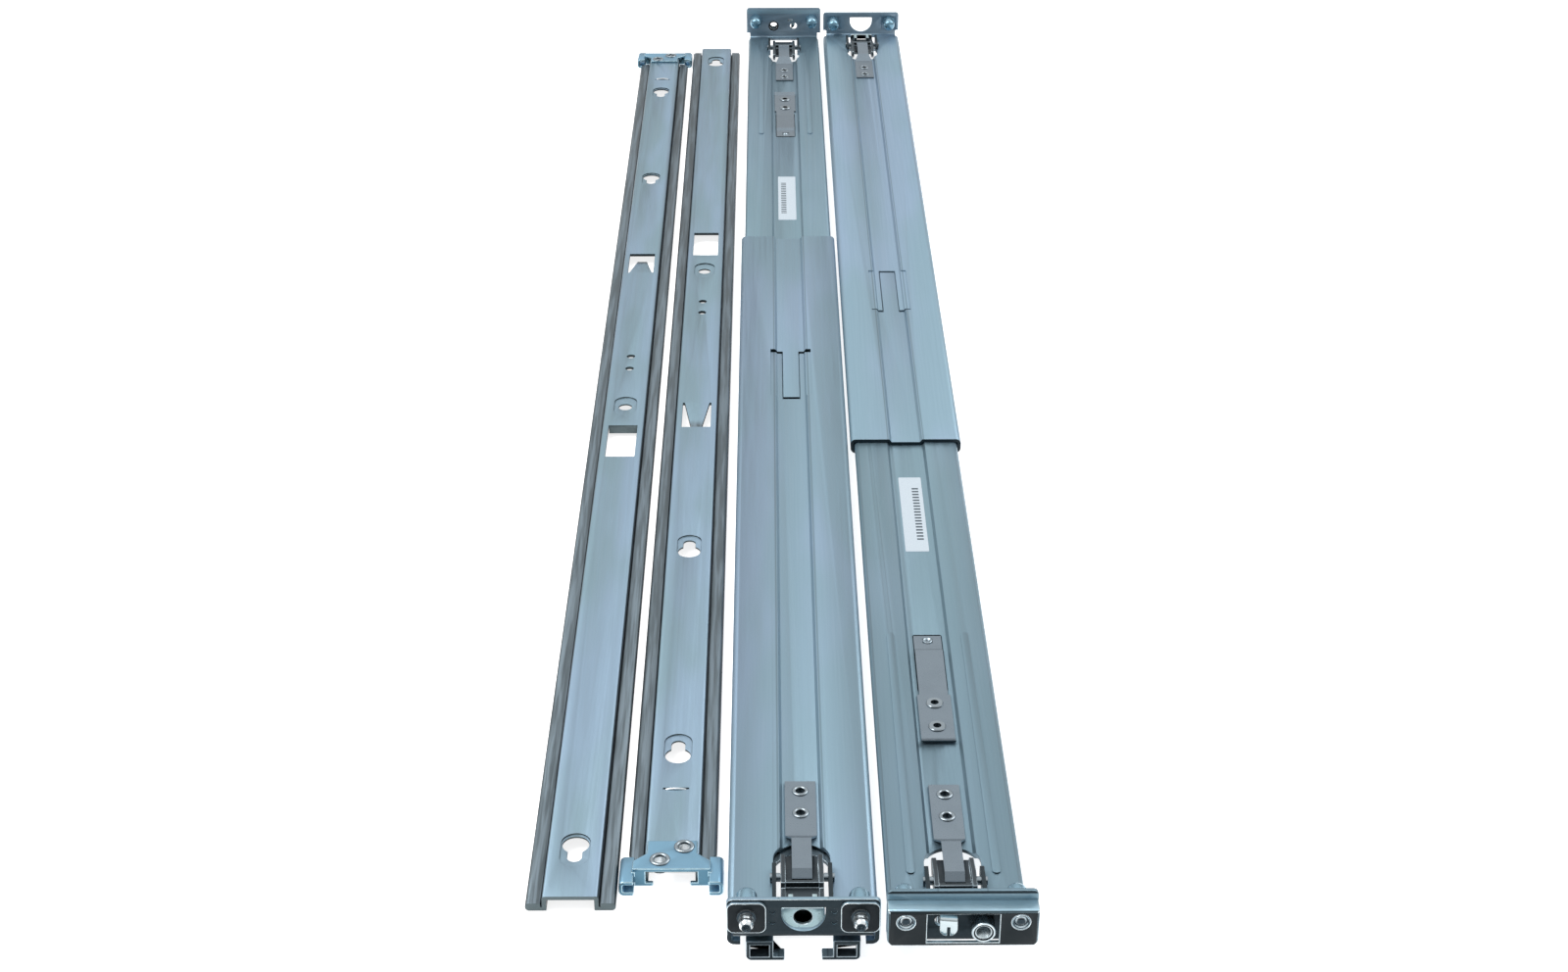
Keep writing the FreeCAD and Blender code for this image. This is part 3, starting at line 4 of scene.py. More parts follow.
import bmesh
import bpy
import numpy as np
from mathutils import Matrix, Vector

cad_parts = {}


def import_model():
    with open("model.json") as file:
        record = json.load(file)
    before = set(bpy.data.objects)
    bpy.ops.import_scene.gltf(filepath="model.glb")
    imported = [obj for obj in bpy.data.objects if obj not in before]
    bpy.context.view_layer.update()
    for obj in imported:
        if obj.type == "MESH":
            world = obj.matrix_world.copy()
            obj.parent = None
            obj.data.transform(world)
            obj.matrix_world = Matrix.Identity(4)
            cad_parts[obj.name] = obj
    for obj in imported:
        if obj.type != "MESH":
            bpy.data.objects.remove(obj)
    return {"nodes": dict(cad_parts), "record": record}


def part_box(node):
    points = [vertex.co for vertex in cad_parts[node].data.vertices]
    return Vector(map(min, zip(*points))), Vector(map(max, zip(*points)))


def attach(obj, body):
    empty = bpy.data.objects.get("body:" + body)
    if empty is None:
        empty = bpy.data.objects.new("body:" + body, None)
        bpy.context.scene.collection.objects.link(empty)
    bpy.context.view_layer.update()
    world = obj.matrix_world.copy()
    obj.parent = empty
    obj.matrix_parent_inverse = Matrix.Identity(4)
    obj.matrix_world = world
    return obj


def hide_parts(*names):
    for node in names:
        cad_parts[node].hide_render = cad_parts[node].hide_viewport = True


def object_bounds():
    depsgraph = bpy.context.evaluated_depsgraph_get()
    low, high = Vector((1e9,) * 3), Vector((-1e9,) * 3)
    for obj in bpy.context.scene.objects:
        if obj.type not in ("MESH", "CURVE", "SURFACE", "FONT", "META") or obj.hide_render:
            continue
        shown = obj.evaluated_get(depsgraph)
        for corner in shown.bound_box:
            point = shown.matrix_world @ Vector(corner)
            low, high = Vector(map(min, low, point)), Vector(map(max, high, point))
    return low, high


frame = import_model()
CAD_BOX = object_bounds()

# The scene is in metres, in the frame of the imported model.
MM = 0.001
SIDES = ("left", "right")


# ---------------------------------------------------------------- materials

def linear(colour):
    """A "#rrggbb" sRGB colour as linear red, green, blue and 1."""
    channels = [int(colour[place:place + 2], 16) / 255 for place in (1, 3, 5)]
    channels = [c / 12.92 if c <= 0.04045 else ((c + 0.055) / 1.055) ** 2.4 for c in channels]
    return (*channels, 1.0)


def node(tree, kind, settings=None, links=None):
    """Adds one node: settings are attributes or input values, links feed its inputs."""
    made = tree.nodes.new(kind)
    for name, value in (settings or {}).items():
        if isinstance(name, str) and hasattr(made, name):
            setattr(made, name, value)
        else:
            made.inputs[name].default_value = value
    for name, source in (links or {}).items():
        tree.links.new(source, made.inputs[name])
    return made


def start(name):
    """An empty material with its output and Object coordinates in millimetres."""
    material = bpy.data.materials.new(name)
    material.use_nodes = True
    tree = material.node_tree
    tree.nodes.clear()
    place = node(tree, "ShaderNodeTexCoord").outputs["Object"]
    scaled = node(tree, "ShaderNodeVectorMath", {"operation": "SCALE", "Scale": 1 / MM},
                  {0: place}).outputs[0]
    return material, tree, scaled


def mix(tree, amount, first, second):
    """Mixes two colours, each a hex text or a socket."""
    made = node(tree, "ShaderNodeMix", {"data_type": "RGBA"})
    for index, value in ((6, first), (7, second)):
        if isinstance(value, str):
            made.inputs[index].default_value = linear(value)
        else:
            tree.links.new(value, made.inputs[index])
    if isinstance(amount, float):
        made.inputs[0].default_value = amount
    else:
        tree.links.new(amount, made.inputs[0])
    return made.outputs[2]


def spread(tree, value, low, high, to_low=0.0, to_high=1.0):
    """Maps a value from low..high to to_low..to_high, smoothly."""
    return node(tree, "ShaderNodeMapRange",
                {"interpolation_type": "SMOOTHSTEP", "From Min": low, "From Max": high,
                 "To Min": to_low, "To Max": to_high}, {"Value": value}).outputs[0]


def noise(tree, place, size, detail, stretch=(1, 1, 1)):
    """Noise whose blots are about size mm wide, drawn out along stretch."""
    moved = node(tree, "ShaderNodeMapping",
                 {"Scale": tuple(1 / (size * s) for s in stretch)}, {"Vector": place})
    return node(tree, "ShaderNodeTexNoise", {"Scale": 1.0, "Detail": detail},
                {"Vector": moved.outputs[0]}).outputs[0]


def maths(tree, operation, *values):
    """One sum of two sockets or numbers."""
    made = node(tree, "ShaderNodeMath", {"operation": operation})
    for index, value in enumerate(values):
        if isinstance(value, (int, float)):
            made.inputs[index].default_value = value
        else:
            tree.links.new(value, made.inputs[index])
    return made.outputs[0]


def parts(tree, vector):
    """The x, y and z of a vector."""
    return node(tree, "ShaderNodeSeparateXYZ", {}, {0: vector}).outputs


def facing(tree):
    """Where a face looks: the x, y and z of its normal."""
    return parts(tree, node(tree, "ShaderNodeNewGeometry").outputs["Normal"])


def outward(tree, place):
    """1 on faces that look away from the middle of the rail, -1 on those that look to it."""
    way = maths(tree, "SIGN", parts(tree, place)[1])
    return maths(tree, "MULTIPLY", way, facing(tree)[1])


def within(tree, value, middle, half, soft):
    """1 where value is within half of middle, falling to 0 over soft."""
    away = maths(tree, "ABSOLUTE", maths(tree, "SUBTRACT", value, middle))
    return spread(tree, away, half, half + soft, 1.0, 0.0)


def both(tree, *masks):
    """1 where all the masks are 1."""
    result = masks[0]
    for mask in masks[1:]:
        result = maths(tree, "MULTIPLY", result, mask)
    return result


def either(tree, *masks):
    """1 where any of the masks is 1."""
    result = masks[0]
    for mask in masks[1:]:
        result = maths(tree, "MAXIMUM", result, mask)
    return result


def finish(material, tree, colour, metallic, roughness, height=None, depth=0.0):
    """Ends a material with its shader, and where it has a height, a bump depth mm deep."""
    links = {"Base Color": colour}
    settings = {"Metallic": metallic}
    if isinstance(roughness, float):
        settings["Roughness"] = roughness
    else:
        links["Roughness"] = roughness
    if height is not None:
        bump = node(tree, "ShaderNodeBump", {"Strength": 0.5, "Distance": depth * MM},
                    {"Height": height})
        links["Normal"] = bump.outputs[0]
    shader = node(tree, "ShaderNodeBsdfPrincipled", settings, links)
    node(tree, "ShaderNodeOutputMaterial", {}, {"Surface": shader.outputs[0]})
    return material


def ends(tree, place, colour, out, back):
    """Paints shade on the faces that look outwards and on those that look back along the rail,
    each in its own colour.
    """
    way = outward(tree, place)
    colour = mix(tree, spread(tree, way, *LOOKS_TO), colour, out)
    return mix(tree, spread(tree, way, *LOOKS_BACK), colour, back)


def zinc_web(name, level, tint, streaks_and_shade, plate_shade, rim=0.0):
    """Hot-dip galvanised strip, rolled along its length: soft blue grey with faint streaks;
    painted shade in its bends, on step lines, on faces that look along the rail, on the ears
    round a latch and, by a given amount, towards the rack plate; rim is how strong the
    stripe of painted highlight above a bezel is."""
    material, tree, place = start(name)
    along = maths(tree, "ABSOLUTE", parts(tree, place)[1])
    slow = noise(tree, place, 22.0, 2.0, (1, 5, 1))
    streak = noise(tree, place, 0.9, 2.0, (1, 60, 1))
    colour = mix(tree, spread(tree, slow, 0.35, 0.65), level, tint)
    # Painted shade: the strip darkens towards the rack plate.
    colour = mix(tree, spread(tree, along, *SHADED, 0.0, plate_shade), colour, "#6f8794")
    colour = mix(tree, spread(tree, streak, 0.3, 0.7, 0.0, 0.06), colour, streaks_and_shade)
    # Painted shade: faces that turn from looking up, in the bends, darken.
    up = facing(tree)[2]
    colour = mix(tree, spread(tree, up, 0.985, 0.80, 0.0, 0.12), colour, streaks_and_shade)
    x, y, z = parts(tree, place)
    # Painted shade: a dark line along each step off a rail's middle line, on faces that look up.
    for middle in RAIL_X:
        off = maths(tree, "ABSOLUTE", maths(tree, "SUBTRACT", x, middle))
        step = both(tree, within(tree, off, *STEP_SHADE_LINE), spread(tree, up, *LOOKS_TO))
        colour = mix(tree, maths(tree, "MULTIPLY", step, 0.55), colour, streaks_and_shade)
    # Painted shade on faces that look outwards along the rail, and on those that look back.
    colour = ends(tree, place, colour, OUTER_FACE_SHADE, "#7f93a2")
    # Painted shade, darker still, on the pads' outward faces.
    pressed = both(tree, spread(tree, along, *PADS_START),
                   spread(tree, outward(tree, place), *LOOKS_TO))
    colour = mix(tree, pressed, colour, PAD_SHADE)
    # Painted highlight: a pale stripe across a plate above the bezel, as strong as rim.
    above = both(tree, within(tree, z, *HIGHLIGHT_STRIPE), spread(tree, along, *PLATE_STARTS))
    colour = mix(tree, maths(tree, "MULTIPLY", above, rim), colour, "#87a3b1")
    # Painted shade: the ears that stand up round a latch are painted near black.
    for middle in RAIL_X:
        ear_shade = both(tree, within(tree, x, middle, *EARS_ACROSS),
                      spread(tree, z, *EARS_START), within(tree, along, *EARS_ALONG))
        colour = mix(tree, ear_shade, colour, "#2b363c")
    rough = spread(tree, streak, 0.3, 0.7, 0.37, 0.47)
    return finish(material, tree, colour, 0.72, rough, streak, 0.004)


def inner_strip():
    """The same strip on the inner members: blue web, darker streaked hems, and painted shade on
    the faces that do not look up and on those that look along the rail.
    """
    material, tree, place = start("galvanised strip with darker hems")
    slow = noise(tree, place, 16.0, 2.0, (1, 5, 1))
    streak = noise(tree, place, 0.7, 2.0, (1, 50, 1))
    rub = noise(tree, place, 1.1, 3.0, (1, 26, 1))
    colour = mix(tree, spread(tree, slow, 0.35, 0.65), "#94acc0", "#8aa4b0")
    colour = mix(tree, spread(tree, streak, 0.3, 0.7, 0.0, 0.06), colour, "#5f7078")
    hem = mix(tree, spread(tree, rub, 0.35, 0.65), "#5c676d", "#7c8a93")
    low = spread(tree, parts(tree, place)[2], *HEMS_START)
    colour = mix(tree, low, colour, hem)
    # Painted shade on the faces that do not look up, and on those that look along the rail.
    up = facing(tree)[2]
    colour = mix(tree, spread(tree, up, 0.97, 0.5, 0.0, 0.9), colour, "#20292e")
    colour = ends(tree, place, colour, "#59666a", "#2b3439")
    return finish(material, tree, colour, 0.7, spread(tree, rub, 0.3, 0.7, 0.38, 0.5),
                  streak, 0.004)


def coated_steel(name, level, outward_shade, edge, roughness, metallic, grain=0.5, back=None):
    """Plated or phosphated steel part: even colour, fine grit, and painted shade in a colour of
    its own on the faces that stand across the rail."""
    material, tree, place = start(name)
    grit = noise(tree, place, grain, 4.0)
    blot = noise(tree, place, 6.0, 2.0)
    colour = mix(tree, spread(tree, blot, 0.4, 0.7, 0.0, 0.25), level, edge)
    # Painted shade on the faces that look along the rail, outwards and back.
    colour = ends(tree, place, colour, outward_shade, back or outward_shade)
    rough = spread(tree, grit, 0.3, 0.7, roughness - 0.05, roughness + 0.05)
    return finish(material, tree, colour, metallic, rough, grit, 0.006)


def bare_edge(name, colour, roughness=0.25):
    """Broken edge where the coating is rubbed to bright metal; the pale colour given to it is
    partly a painted highlight.
    """
    material, tree, place = start(name)
    rub = noise(tree, place, 2.0, 2.0)
    colour = mix(tree, spread(tree, rub, 0.35, 0.65, 0.0, 0.4), colour, "#8fa0aa")
    return finish(material, tree, colour, 0.9, roughness)


def sheet_edge():
    """Edges of the outer rails: dark in the web's bends as painted shade, and pale on the rack
    plates and on the ears that stand up round a latch, as rubbed metal and painted highlight."""
    material, tree, place = start("rubbed sheet edge with painted highlight and shade")
    x, y, z = parts(tree, place)
    along = maths(tree, "ABSOLUTE", y)
    # Painted highlight on the plates' edges and the ears' tips, painted shade in the bends.
    bright = either(tree, spread(tree, along, *BRIGHT_FROM), spread(tree, z, *EAR_TIPS_START))
    rub = noise(tree, place, 3.0, 2.0)
    colour = mix(tree, bright, "#5c6e79", mix(tree, rub, "#93a5af", "#d6e1e6"))
    return finish(material, tree, colour, 0.8, 0.3)


def label_stock():
    """Pale label: coated paper, matt, with one printed block of plain even bars."""
    material, tree, place = start("coated label paper")
    fibre = noise(tree, place, 0.4, 4.0)
    paper = mix(tree, spread(tree, fibre, 0.3, 0.7), "#c9d6e0", "#d3dfe8")
    x, y, z = parts(tree, place)
    bar = maths(tree, "PINGPONG", y, BAR_PITCH / 2)
    ink = spread(tree, bar, BAR_PITCH * 0.24, BAR_PITCH * 0.28)
    blocks = [both(tree, within(tree, x, line + way * BAR_SIDE, *BLOCK_ACROSS),
                   within(tree, y, middle, *BLOCK_ALONG)) for (line, way), middle in LABELS]
    colour = mix(tree, both(tree, ink, either(tree, *blocks)), paper, "#3c4a55")
    return finish(material, tree, colour, 0.0, 0.55, fibre, 0.004)


# Painted shade on the rack plates' outward faces, and on the pads pressed out of them.
OUTER_FACE_SHADE = "#1c2930"
PAD_SHADE = "#10181d"

# The range of a normal's part over which a face comes to look a way, and the opposite way.
LOOKS_TO = (0.5, 0.9)
LOOKS_BACK = (-0.5, -0.9)

# Where looks change, in mm, with heights and places along a rail in the frame of the model.
# The outer rails' middle lines.
RAIL_X = (8.375, 52.475)
# Start and end of a change: the painted shade towards a rack plate, the painted highlight on
# the plates' edges, the plates, the pads on them, the ears round a latch with their painted
# shade, the painted highlight on the tips of those ears, and the hems.
SHADED = (60.0, 390.0)
BRIGHT_FROM = (391.5, 392.5)
PLATE_STARTS = (393.0, 394.0)
PADS_START = (395.7, 396.0)
EARS_START = (9.4, 9.9)
EAR_TIPS_START = (9.5, 9.9)
HEMS_START = (3.6, 3.0)
# Middle, half width and soft edge: a line of painted shade on the step off the middle line,
# the height of a stripe of painted highlight on a plate, and the ears along the rail; then
# half width and soft edge of the ears across it.
STEP_SHADE_LINE = (6.9, 0.12, 0.3)
HIGHLIGHT_STRIPE = (22.4, 0.9, 0.5)
EARS_ALONG = (376.0, 17.0, 0.5)
EARS_ACROSS = (11.0, 0.2)

# The labels: a rail's middle line, the side of it, and the label's middle along it in mm.
LABELS = (((RAIL_X[0], -1), 154.0), ((RAIL_X[1], 1), -154.0))
# The plain bars: how far off that line, their pitch, and half the block's size and soft edge.
BAR_SIDE = 1.6
BAR_PITCH = 2.2
BLOCK_ACROSS = (1.2, 0.05)
BLOCK_ALONG = (20.0, 0.05)

# The three colours of coated_steel: level faces, painted shade on faces that look outwards along
# the rail, blotches; back is the painted shade on faces that look back. Those of zinc_web: the
# web, its blots, and its streaks with the painted shade in its bends and on its step lines.
MATERIALS = {
    "galvanised_sheet": zinc_web("galvanised strip, wide rail", "#98b0c6", "#8fabba",
                                 "#5e717c", 0.12),
    # The track: a darker strip than the rails'.
    "track_sheet": zinc_web("dark galvanised strip", "#5f6f79", "#56666f", "#2c363c", 0.0),
    # The bezel: blue zinc whose fronts are painted near black, as shade.
    "dark_zinc": coated_steel("blue zinc with painted dark fronts", "#9dbccb", "#111b20", "#7f9dab", 0.33, 0.65,
                              back="#33434c"),
    "bright_nickel": coated_steel("bright nickel plate", "#dfe8ea", "#b9c6ca", "#aebcc0",
                                  0.16, 0.95),
    "pin_zinc": coated_steel("blue passivated zinc", "#8fb2c4", "#9aa9b2", "#6f93a6", 0.24,
                             0.85, 1.2, back="#6f93a6"),
    "latch_steel": coated_steel("phosphated steel", "#3f484e", "#20282d", "#2c353a", 0.38,
                                0.65),
    "spring_steel": coated_steel("spring strip", "#828f99", "#4a545b", "#76838d", 0.32, 0.8),
    "rivet_steel": coated_steel("rolled rivet steel", "#98a3aa", "#434d53", "#7e8a91", 0.2,
                                0.92),
    "light_zinc": coated_steel("light zinc plate", "#b4ccd1", "#a9c4c9", "#9fbcc2", 0.32, 0.6,
                               back="#2c383e"),
    "blue_zinc": coated_steel("blue zinc sheet", "#7fa9c2", "#567f94", "#7399ad", 0.34, 0.68,
                              back="#466878"),
    "blank_label": label_stock(),
}
BY_PART = {
    # Strong painted shade towards the rack plate, and the painted highlight stripe above the
    # bezel.
    "front_channel": zinc_web("galvanised strip, narrow rail", "#92acbd", "#87a3af",
                              "#566a75", 0.75, 0.85),
    "inner_member": inner_strip(),
}
EDGES = {"sheet": sheet_edge(), "steel": bare_edge("bare steel edge", "#aab8c0"),
         "bright": bare_edge("rubbed plate edge with painted highlight", "#cfdbe0"),
         "zinc": bare_edge("rubbed blue zinc edge", "#a9c9d6")}
# The pins' polished ends are painted dark where they look along the rail: a painted dark
# reflection.
CHROME = coated_steel("polished pin", "#e6edf0", "#2b363d", "#9fb0ba", 0.14, 0.92, 1.2)
# Painted light: pale bores and the louver's lip stand for light seen through them.
SEEN_THROUGH_LIGHT = bare_edge("pale bore painted as light seen through it", "#eef3f5", 0.35)
THREAD = coated_steel("dark turned thread", "#6f7b82", "#171f24", "#3a454b", 0.25, 0.85)


# ---------------------------------------------------------------- CAD nodes

# Points this close in mm are one, faces that turn by fewer degrees than FLAT are one, and
# edges that turn by more than SHARP are broken, in EDGE_STEPS steps.
WELD = 0.002
FLAT = 0.5
SHARP = 35
EDGE_STEPS = 2


def softened(name, width, keep_apart):
    """A copy of a CAD node with its sharp edges broken by width mm, standing for it; with
    keep_apart the broken edges get narrower where they would meet."""
    source = frame["nodes"][name]
    mesh = source.data.copy()
    mesh.name = name + "_eased"
    work = bmesh.new()
    work.from_mesh(mesh)
    bmesh.ops.remove_doubles(work, verts=work.verts, dist=WELD * MM)
    bmesh.ops.dissolve_limit(work, angle_limit=math.radians(FLAT), verts=work.verts,
                             edges=work.edges)
    work.to_mesh(mesh)
    work.free()
    mesh.shade_smooth()
    piece = bpy.data.objects.new(name + "_eased", mesh)
    bpy.context.scene.collection.objects.link(piece)
    bevel = piece.modifiers.new("broken edges", "BEVEL")
    bevel.width = width * MM
    bevel.segments = EDGE_STEPS
    bevel.limit_method = "ANGLE"
    bevel.angle_limit = math.radians(SHARP)
    bevel.harden_normals = True
    bevel.use_clamp_overlap = keep_apart
    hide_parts(name)
    return piece


record = frame["record"]
slot_of = {entry["node"]: entry["material_slot"] for entry in record["subparts"]}
body_of = {member: body for body, members in record["behaviour"]["bodies"].items()
           for member in members}


def finish_of(name):
    """The material of a node: its part's own, or its slot's."""
    part = name.split("_", 1)[1]
    return BY_PART.get(part, MATERIALS[slot_of[name]])


for name, source in frame["nodes"].items():
    source.data.materials.clear()
    source.data.materials.append(finish_of(name))

# Broken edges in mm, and the metal that shows on them, where it differs from the faces; the
# pale metal is partly a painted highlight.
EASED = {"rear_channel": (0.2, "sheet"), "front_channel": (0.2, "sheet"),
         "front_bezel": (0.25, "bright"), "rear_guide": (0.2, "steel"),
         "inner_member": (0.12, None), "end_bracket": (0.3, "zinc"),
         "front_latch": (0.15, "steel"), "rear_latch": (0.15, "steel"),
         "front_hook": (0.2, None), "rear_screw_plate": (0.2, "bright"),
         "slide_track": (0.12, None)}
for side in SIDES:
    for part, (width, edge) in EASED.items():
        name = "%s_%s" % (side, part)
        piece = softened(name, width, part.endswith("channel"))
        piece.data.materials.clear()
        piece.data.materials.append(finish_of(name))
        if edge:
            piece.data.materials.append(EDGES[edge])
            piece.modifiers[0].material = 1
        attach(piece, body_of[name])


# ---------------------------------------------------------------- turned and bent pieces

# Faces round a turned piece and round a wire, and the turn in degrees that stays sharp.
TURNED_SIDES = 40
WIRE_SIDES = 8
SPLIT = 40


def surface(name, grids):
    """One mesh made of grids of points in mm, whose columns join up: each entry is a grid,
    a material number for every row of its faces, and whether its rows join up too."""
    points, faces, marks, first = [], [], [], 0
    for grid, rows_of, joined in grids:
        rows, columns = grid.shape[:2]
        number = first + np.arange(rows * columns).reshape(rows, columns)
        if joined:
            number = np.vstack([number, number[:1]])
        number = np.hstack([number, number[:, :1]])
        quads = np.stack([number[:-1, :-1], number[:-1, 1:], number[1:, 1:],
                          number[1:, :-1]], axis=-1)
        marks.append(np.repeat(np.broadcast_to(rows_of, quads.shape[0]), quads.shape[1]))
        faces.append(quads.reshape(-1, 4))
        points.append(grid.reshape(-1, 3))
        first += rows * columns
    mesh = bpy.data.meshes.new(name)
    mesh.from_pydata((np.vstack(points) * MM).tolist(), [], np.vstack(faces).tolist())
    mesh.polygons.foreach_set("material_index", np.concatenate(marks).astype(np.int32))
    mesh.validate()
    piece = bpy.data.objects.new(name, mesh)
    bpy.context.scene.collection.objects.link(piece)
    return piece


def turned(profile, centre, axis, way=1):
    """Surface of revolution: each row of the profile gives a distance along the axis, the
    radius there, and the material of the faces that follow; the point at angle a lies at
    radius times (cos a, sin a) round the axis, counted along it in the sense of way."""
    rows = np.array([row[:2] for row in profile], float)
    angle = np.linspace(0, 2 * math.pi, TURNED_SIDES, endpoint=False) * way
    across = rows[:, 1:2] * np.cos(angle)
    aside = rows[:, 1:2] * np.sin(angle)
    reach = np.broadcast_to(way * rows[:, :1], across.shape)
    if axis == "y":
        grid = np.stack([aside, reach, across], axis=-1)
    else:
        grid = np.stack([across, aside, reach], axis=-1)
    return grid + np.array(centre, float), [row[2] for row in profile[:-1]], False


def wire(path, radius, joined=True):
    """Thin round strip along a path in a plane across the rail: circles of the given
    radius, each set square to the path's direction at its point."""
    path = np.array(path, float)
    ahead = np.roll(path, -1, axis=0) - np.roll(path, 1, axis=0)
    if not joined:
        ahead[0], ahead[-1] = path[1] - path[0], path[-1] - path[-2]
    ahead /= np.linalg.norm(ahead, axis=1)[:, None]
    side = np.stack([-ahead[:, 2], 0 * ahead[:, 0], ahead[:, 0]], axis=-1)
    angle = np.linspace(0, 2 * math.pi, WIRE_SIDES, endpoint=False)
    grid = (path[:, None, :] + radius * (np.cos(angle)[None, :, None] * side[:, None, :]
            + np.sin(angle)[None, :, None] * np.array([0, 1, 0])))
    return grid, 0, joined


def round_box(low, high, corner, y, joined=True):
    """Outline of a rectangle with round corners at depth y, from low (x, z) to high; open
    at the bottom unless joined, and then without its lower corners."""
    points = []
    corners = ((high[0] - corner, high[1] - corner, 0), (low[0] + corner, high[1] - corner, 90),
               (low[0] + corner, low[1] + corner, 180), (high[0] - corner, low[1] + corner, 270))
    if not joined:
        points.append((high[0], y, low[1]))
    for x, z, begin in corners[:4 if joined else 2]:
        for turn in np.radians(begin + np.linspace(0, 90, 7)):
            points.append((x + corner * math.cos(turn), y, z + corner * math.sin(turn)))
    if not joined:
        points.append((low[0], y, low[1]))
    return points


def box_mm(name):
    """Lowest and highest corner of a CAD node in mm."""
    return [np.array(corner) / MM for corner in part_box(name)]


def placed(name):
    """A CAD node's lowest and highest corner in mm, which way along y its end of the rail
    lies, and the y of its faces nearest to and farthest from the middle of the rail."""
    low, high = box_mm(name)
    way = 1 if low[1] + high[1] > 0 else -1
    near, far = (low[1], high[1])[::way]
    return low, high, way, near, far


def set_in(piece, name, materials, stands_for=True):
    """Gives a new piece its metals, and the body of the CAD node called name; it replaces that
    node if it stands for it."""
    for material in materials:
        piece.data.materials.append(material)
    piece.data.shade_smooth()
    split = piece.modifiers.new("sharp edges", "EDGE_SPLIT")
    split.split_angle = math.radians(SPLIT)
    if stands_for:
        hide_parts(name)
    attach(piece, body_of[name])


# Profiles in mm, from the tail's round end outwards: place, radius, metal.
TAIL = [(0, 0, 0), (0, 1.25, 0), (0.35, 2.1, 0), (1.0, 2.8, 0), (1.8, 3.05, 0),
        (7.1, 3.05, 0), (7.1, 3.3, 0)]
REAR_PIN = TAIL + [(9.3, 3.3, 0), (9.3, 2.65, 1), (11.0, 2.65, 1), (11.1, 2.5, 1),
                   (11.1, 2.2, 1), (11.9, 2.2, 1), (12.1, 1.9, 1), (12.5, 1.9, 1),
                   (12.7, 2.15, 1), (13.3, 2.1, 1), (13.5, 1.8, 1), (13.9, 1.8, 1),
                   (14.1, 2.0, 1), (14.7, 1.85, 1), (15.3, 1.35, 1), (15.3, 0.95, 1),
                   (13.6, 0.95, 1), (13.6, 0, 1)]
FRONT_PIN = TAIL + [(8.3, 3.3, 0), (8.3, 2.45, 1), (14.4, 2.45, 1), (14.7, 2.25, 1),
                    (14.7, 2.0, 1), (13.9, 1.85, 1), (13.9, 1.6, 1), (14.3, 1.4, 1),
                    (14.6, 0.9, 1), (14.7, 0.4, 1), (14.7, 0, 1)]
# The socket's outside, its rim rubbed pale and partly a painted highlight, and the thread in its
# bore, whose flanks are painted pale and dark in turn as highlight and shade.
SOCKET = [(0, 2.15, 0), (0, 2.9, 0), (1.2, 2.9, 0), (1.2, 3.35, 0), (6.25, 3.35, 1),
          (6.5, 3.15, 1), (6.5, 2.8, 0), (6.4, 2.7, 0), (6.3, 2.3, 1)]
SOCKET += [(6.2 - 0.4 * turn, 2.4 if turn % 2 else 2.1, turn % 2) for turn in range(15)]
SOCKET += [(0, 2.15, 0)]


# The radius of a pin's tail where it is widest, in mm.
TAIL_HALF = 3.3

# Hollow rivets: radius of the head, the shank and the bore. All have the same collar height,
# its lower and upper overhang, the height of the rolled lip, and the depth of its inner side.
SPRING_RIVET = (2.6, 1.9, 1.3)
BRACKET_RIVET = (3.1, 2.2, 1.75)
COLLAR = 0.5
OVERHANG = (0.6, 0.7)
ROLL = 0.5
LIP_DEPTH = 0.9

# A rear rack plate's strips of painted highlight: half the pitch of its pads, a pad's half
# width, lower and upper edge and corner, the low end and corner of the plate's outline, both
# strips' radii, how far the strips lie inside the faces, and how far the plate lies behind its
# pads.
PAD_AT = 15.875
PAD_HALF, PAD_LOW, PAD_HIGH, PAD_CORNER = 5.35, 10.9, 21.0, 2.0
PLATE_LOW, PLATE_CORNER = 9.3, 1.5
PAD_STRIP, PLATE_STRIP = 0.14, 0.13
STRIP_SUNK, PLATE_INSET = 0.05, 0.1
PAD_STANDS = 0.9

# A louver's slit lies this far behind the middle of the bracket's rivets; then its half
# width, and the lip's half length, rise, radius and the depth to which its ends are sunk.
SLIT_BACK = 736.0 - 702.5
SLIT_HALF = 0.55
LIP_HALF, LIP_RISE, LIP_STRIP, LIP_SUNK = 3.1, 0.42, 0.34, 0.1

# The eyelet's profile, how far it lies from the lock spring's end, and its height on it.
EYELET = [(-0.5, 0.1, 1), (-0.1, 0.95, 0), (0.15, 1.1, 0), (0.25, 1.35, 0),
          (0.15, 1.6, 0), (-0.2, 1.75, 0)]
EYELET_IN = 2.9
EYELET_UP = 0.55


def rolled_rivet(height, head, shank, bore):
    """Profile of a hollow rivet: set collar below, shank, and a head rolled over into a
    round lip whose inner side runs down into the bore."""
    lip = (head - bore) / 2
    rim = [(height - ROLL + ROLL * math.sin(turn), bore + lip - lip * math.cos(turn), 0)
           for turn in np.radians(np.linspace(180, 0, 9))]
    return [(0, bore, 0), (0, shank + OVERHANG[0], 0), (COLLAR, shank + OVERHANG[1], 0),
            (COLLAR, shank, 0), (height - ROLL, shank, 0)] + rim + [
            (height - LIP_DEPTH, bore, 1), (0, bore, 1)]


def rack_pins(name, profile):
    """Two turned pins side by side at half the node's height, each a tail's radius in from
    the side of the node, standing on the face nearest to the middle of the rail."""
    low, high, way, near, _ = placed(name)
    height = (low[2] + high[2]) / 2
    pair = [turned(profile, (x, near, height), "y", way)
            for x in (low[0] + TAIL_HALF, high[0] - TAIL_HALF)]
    set_in(surface(name + "_turned", pair), name, [finish_of(name), CHROME])


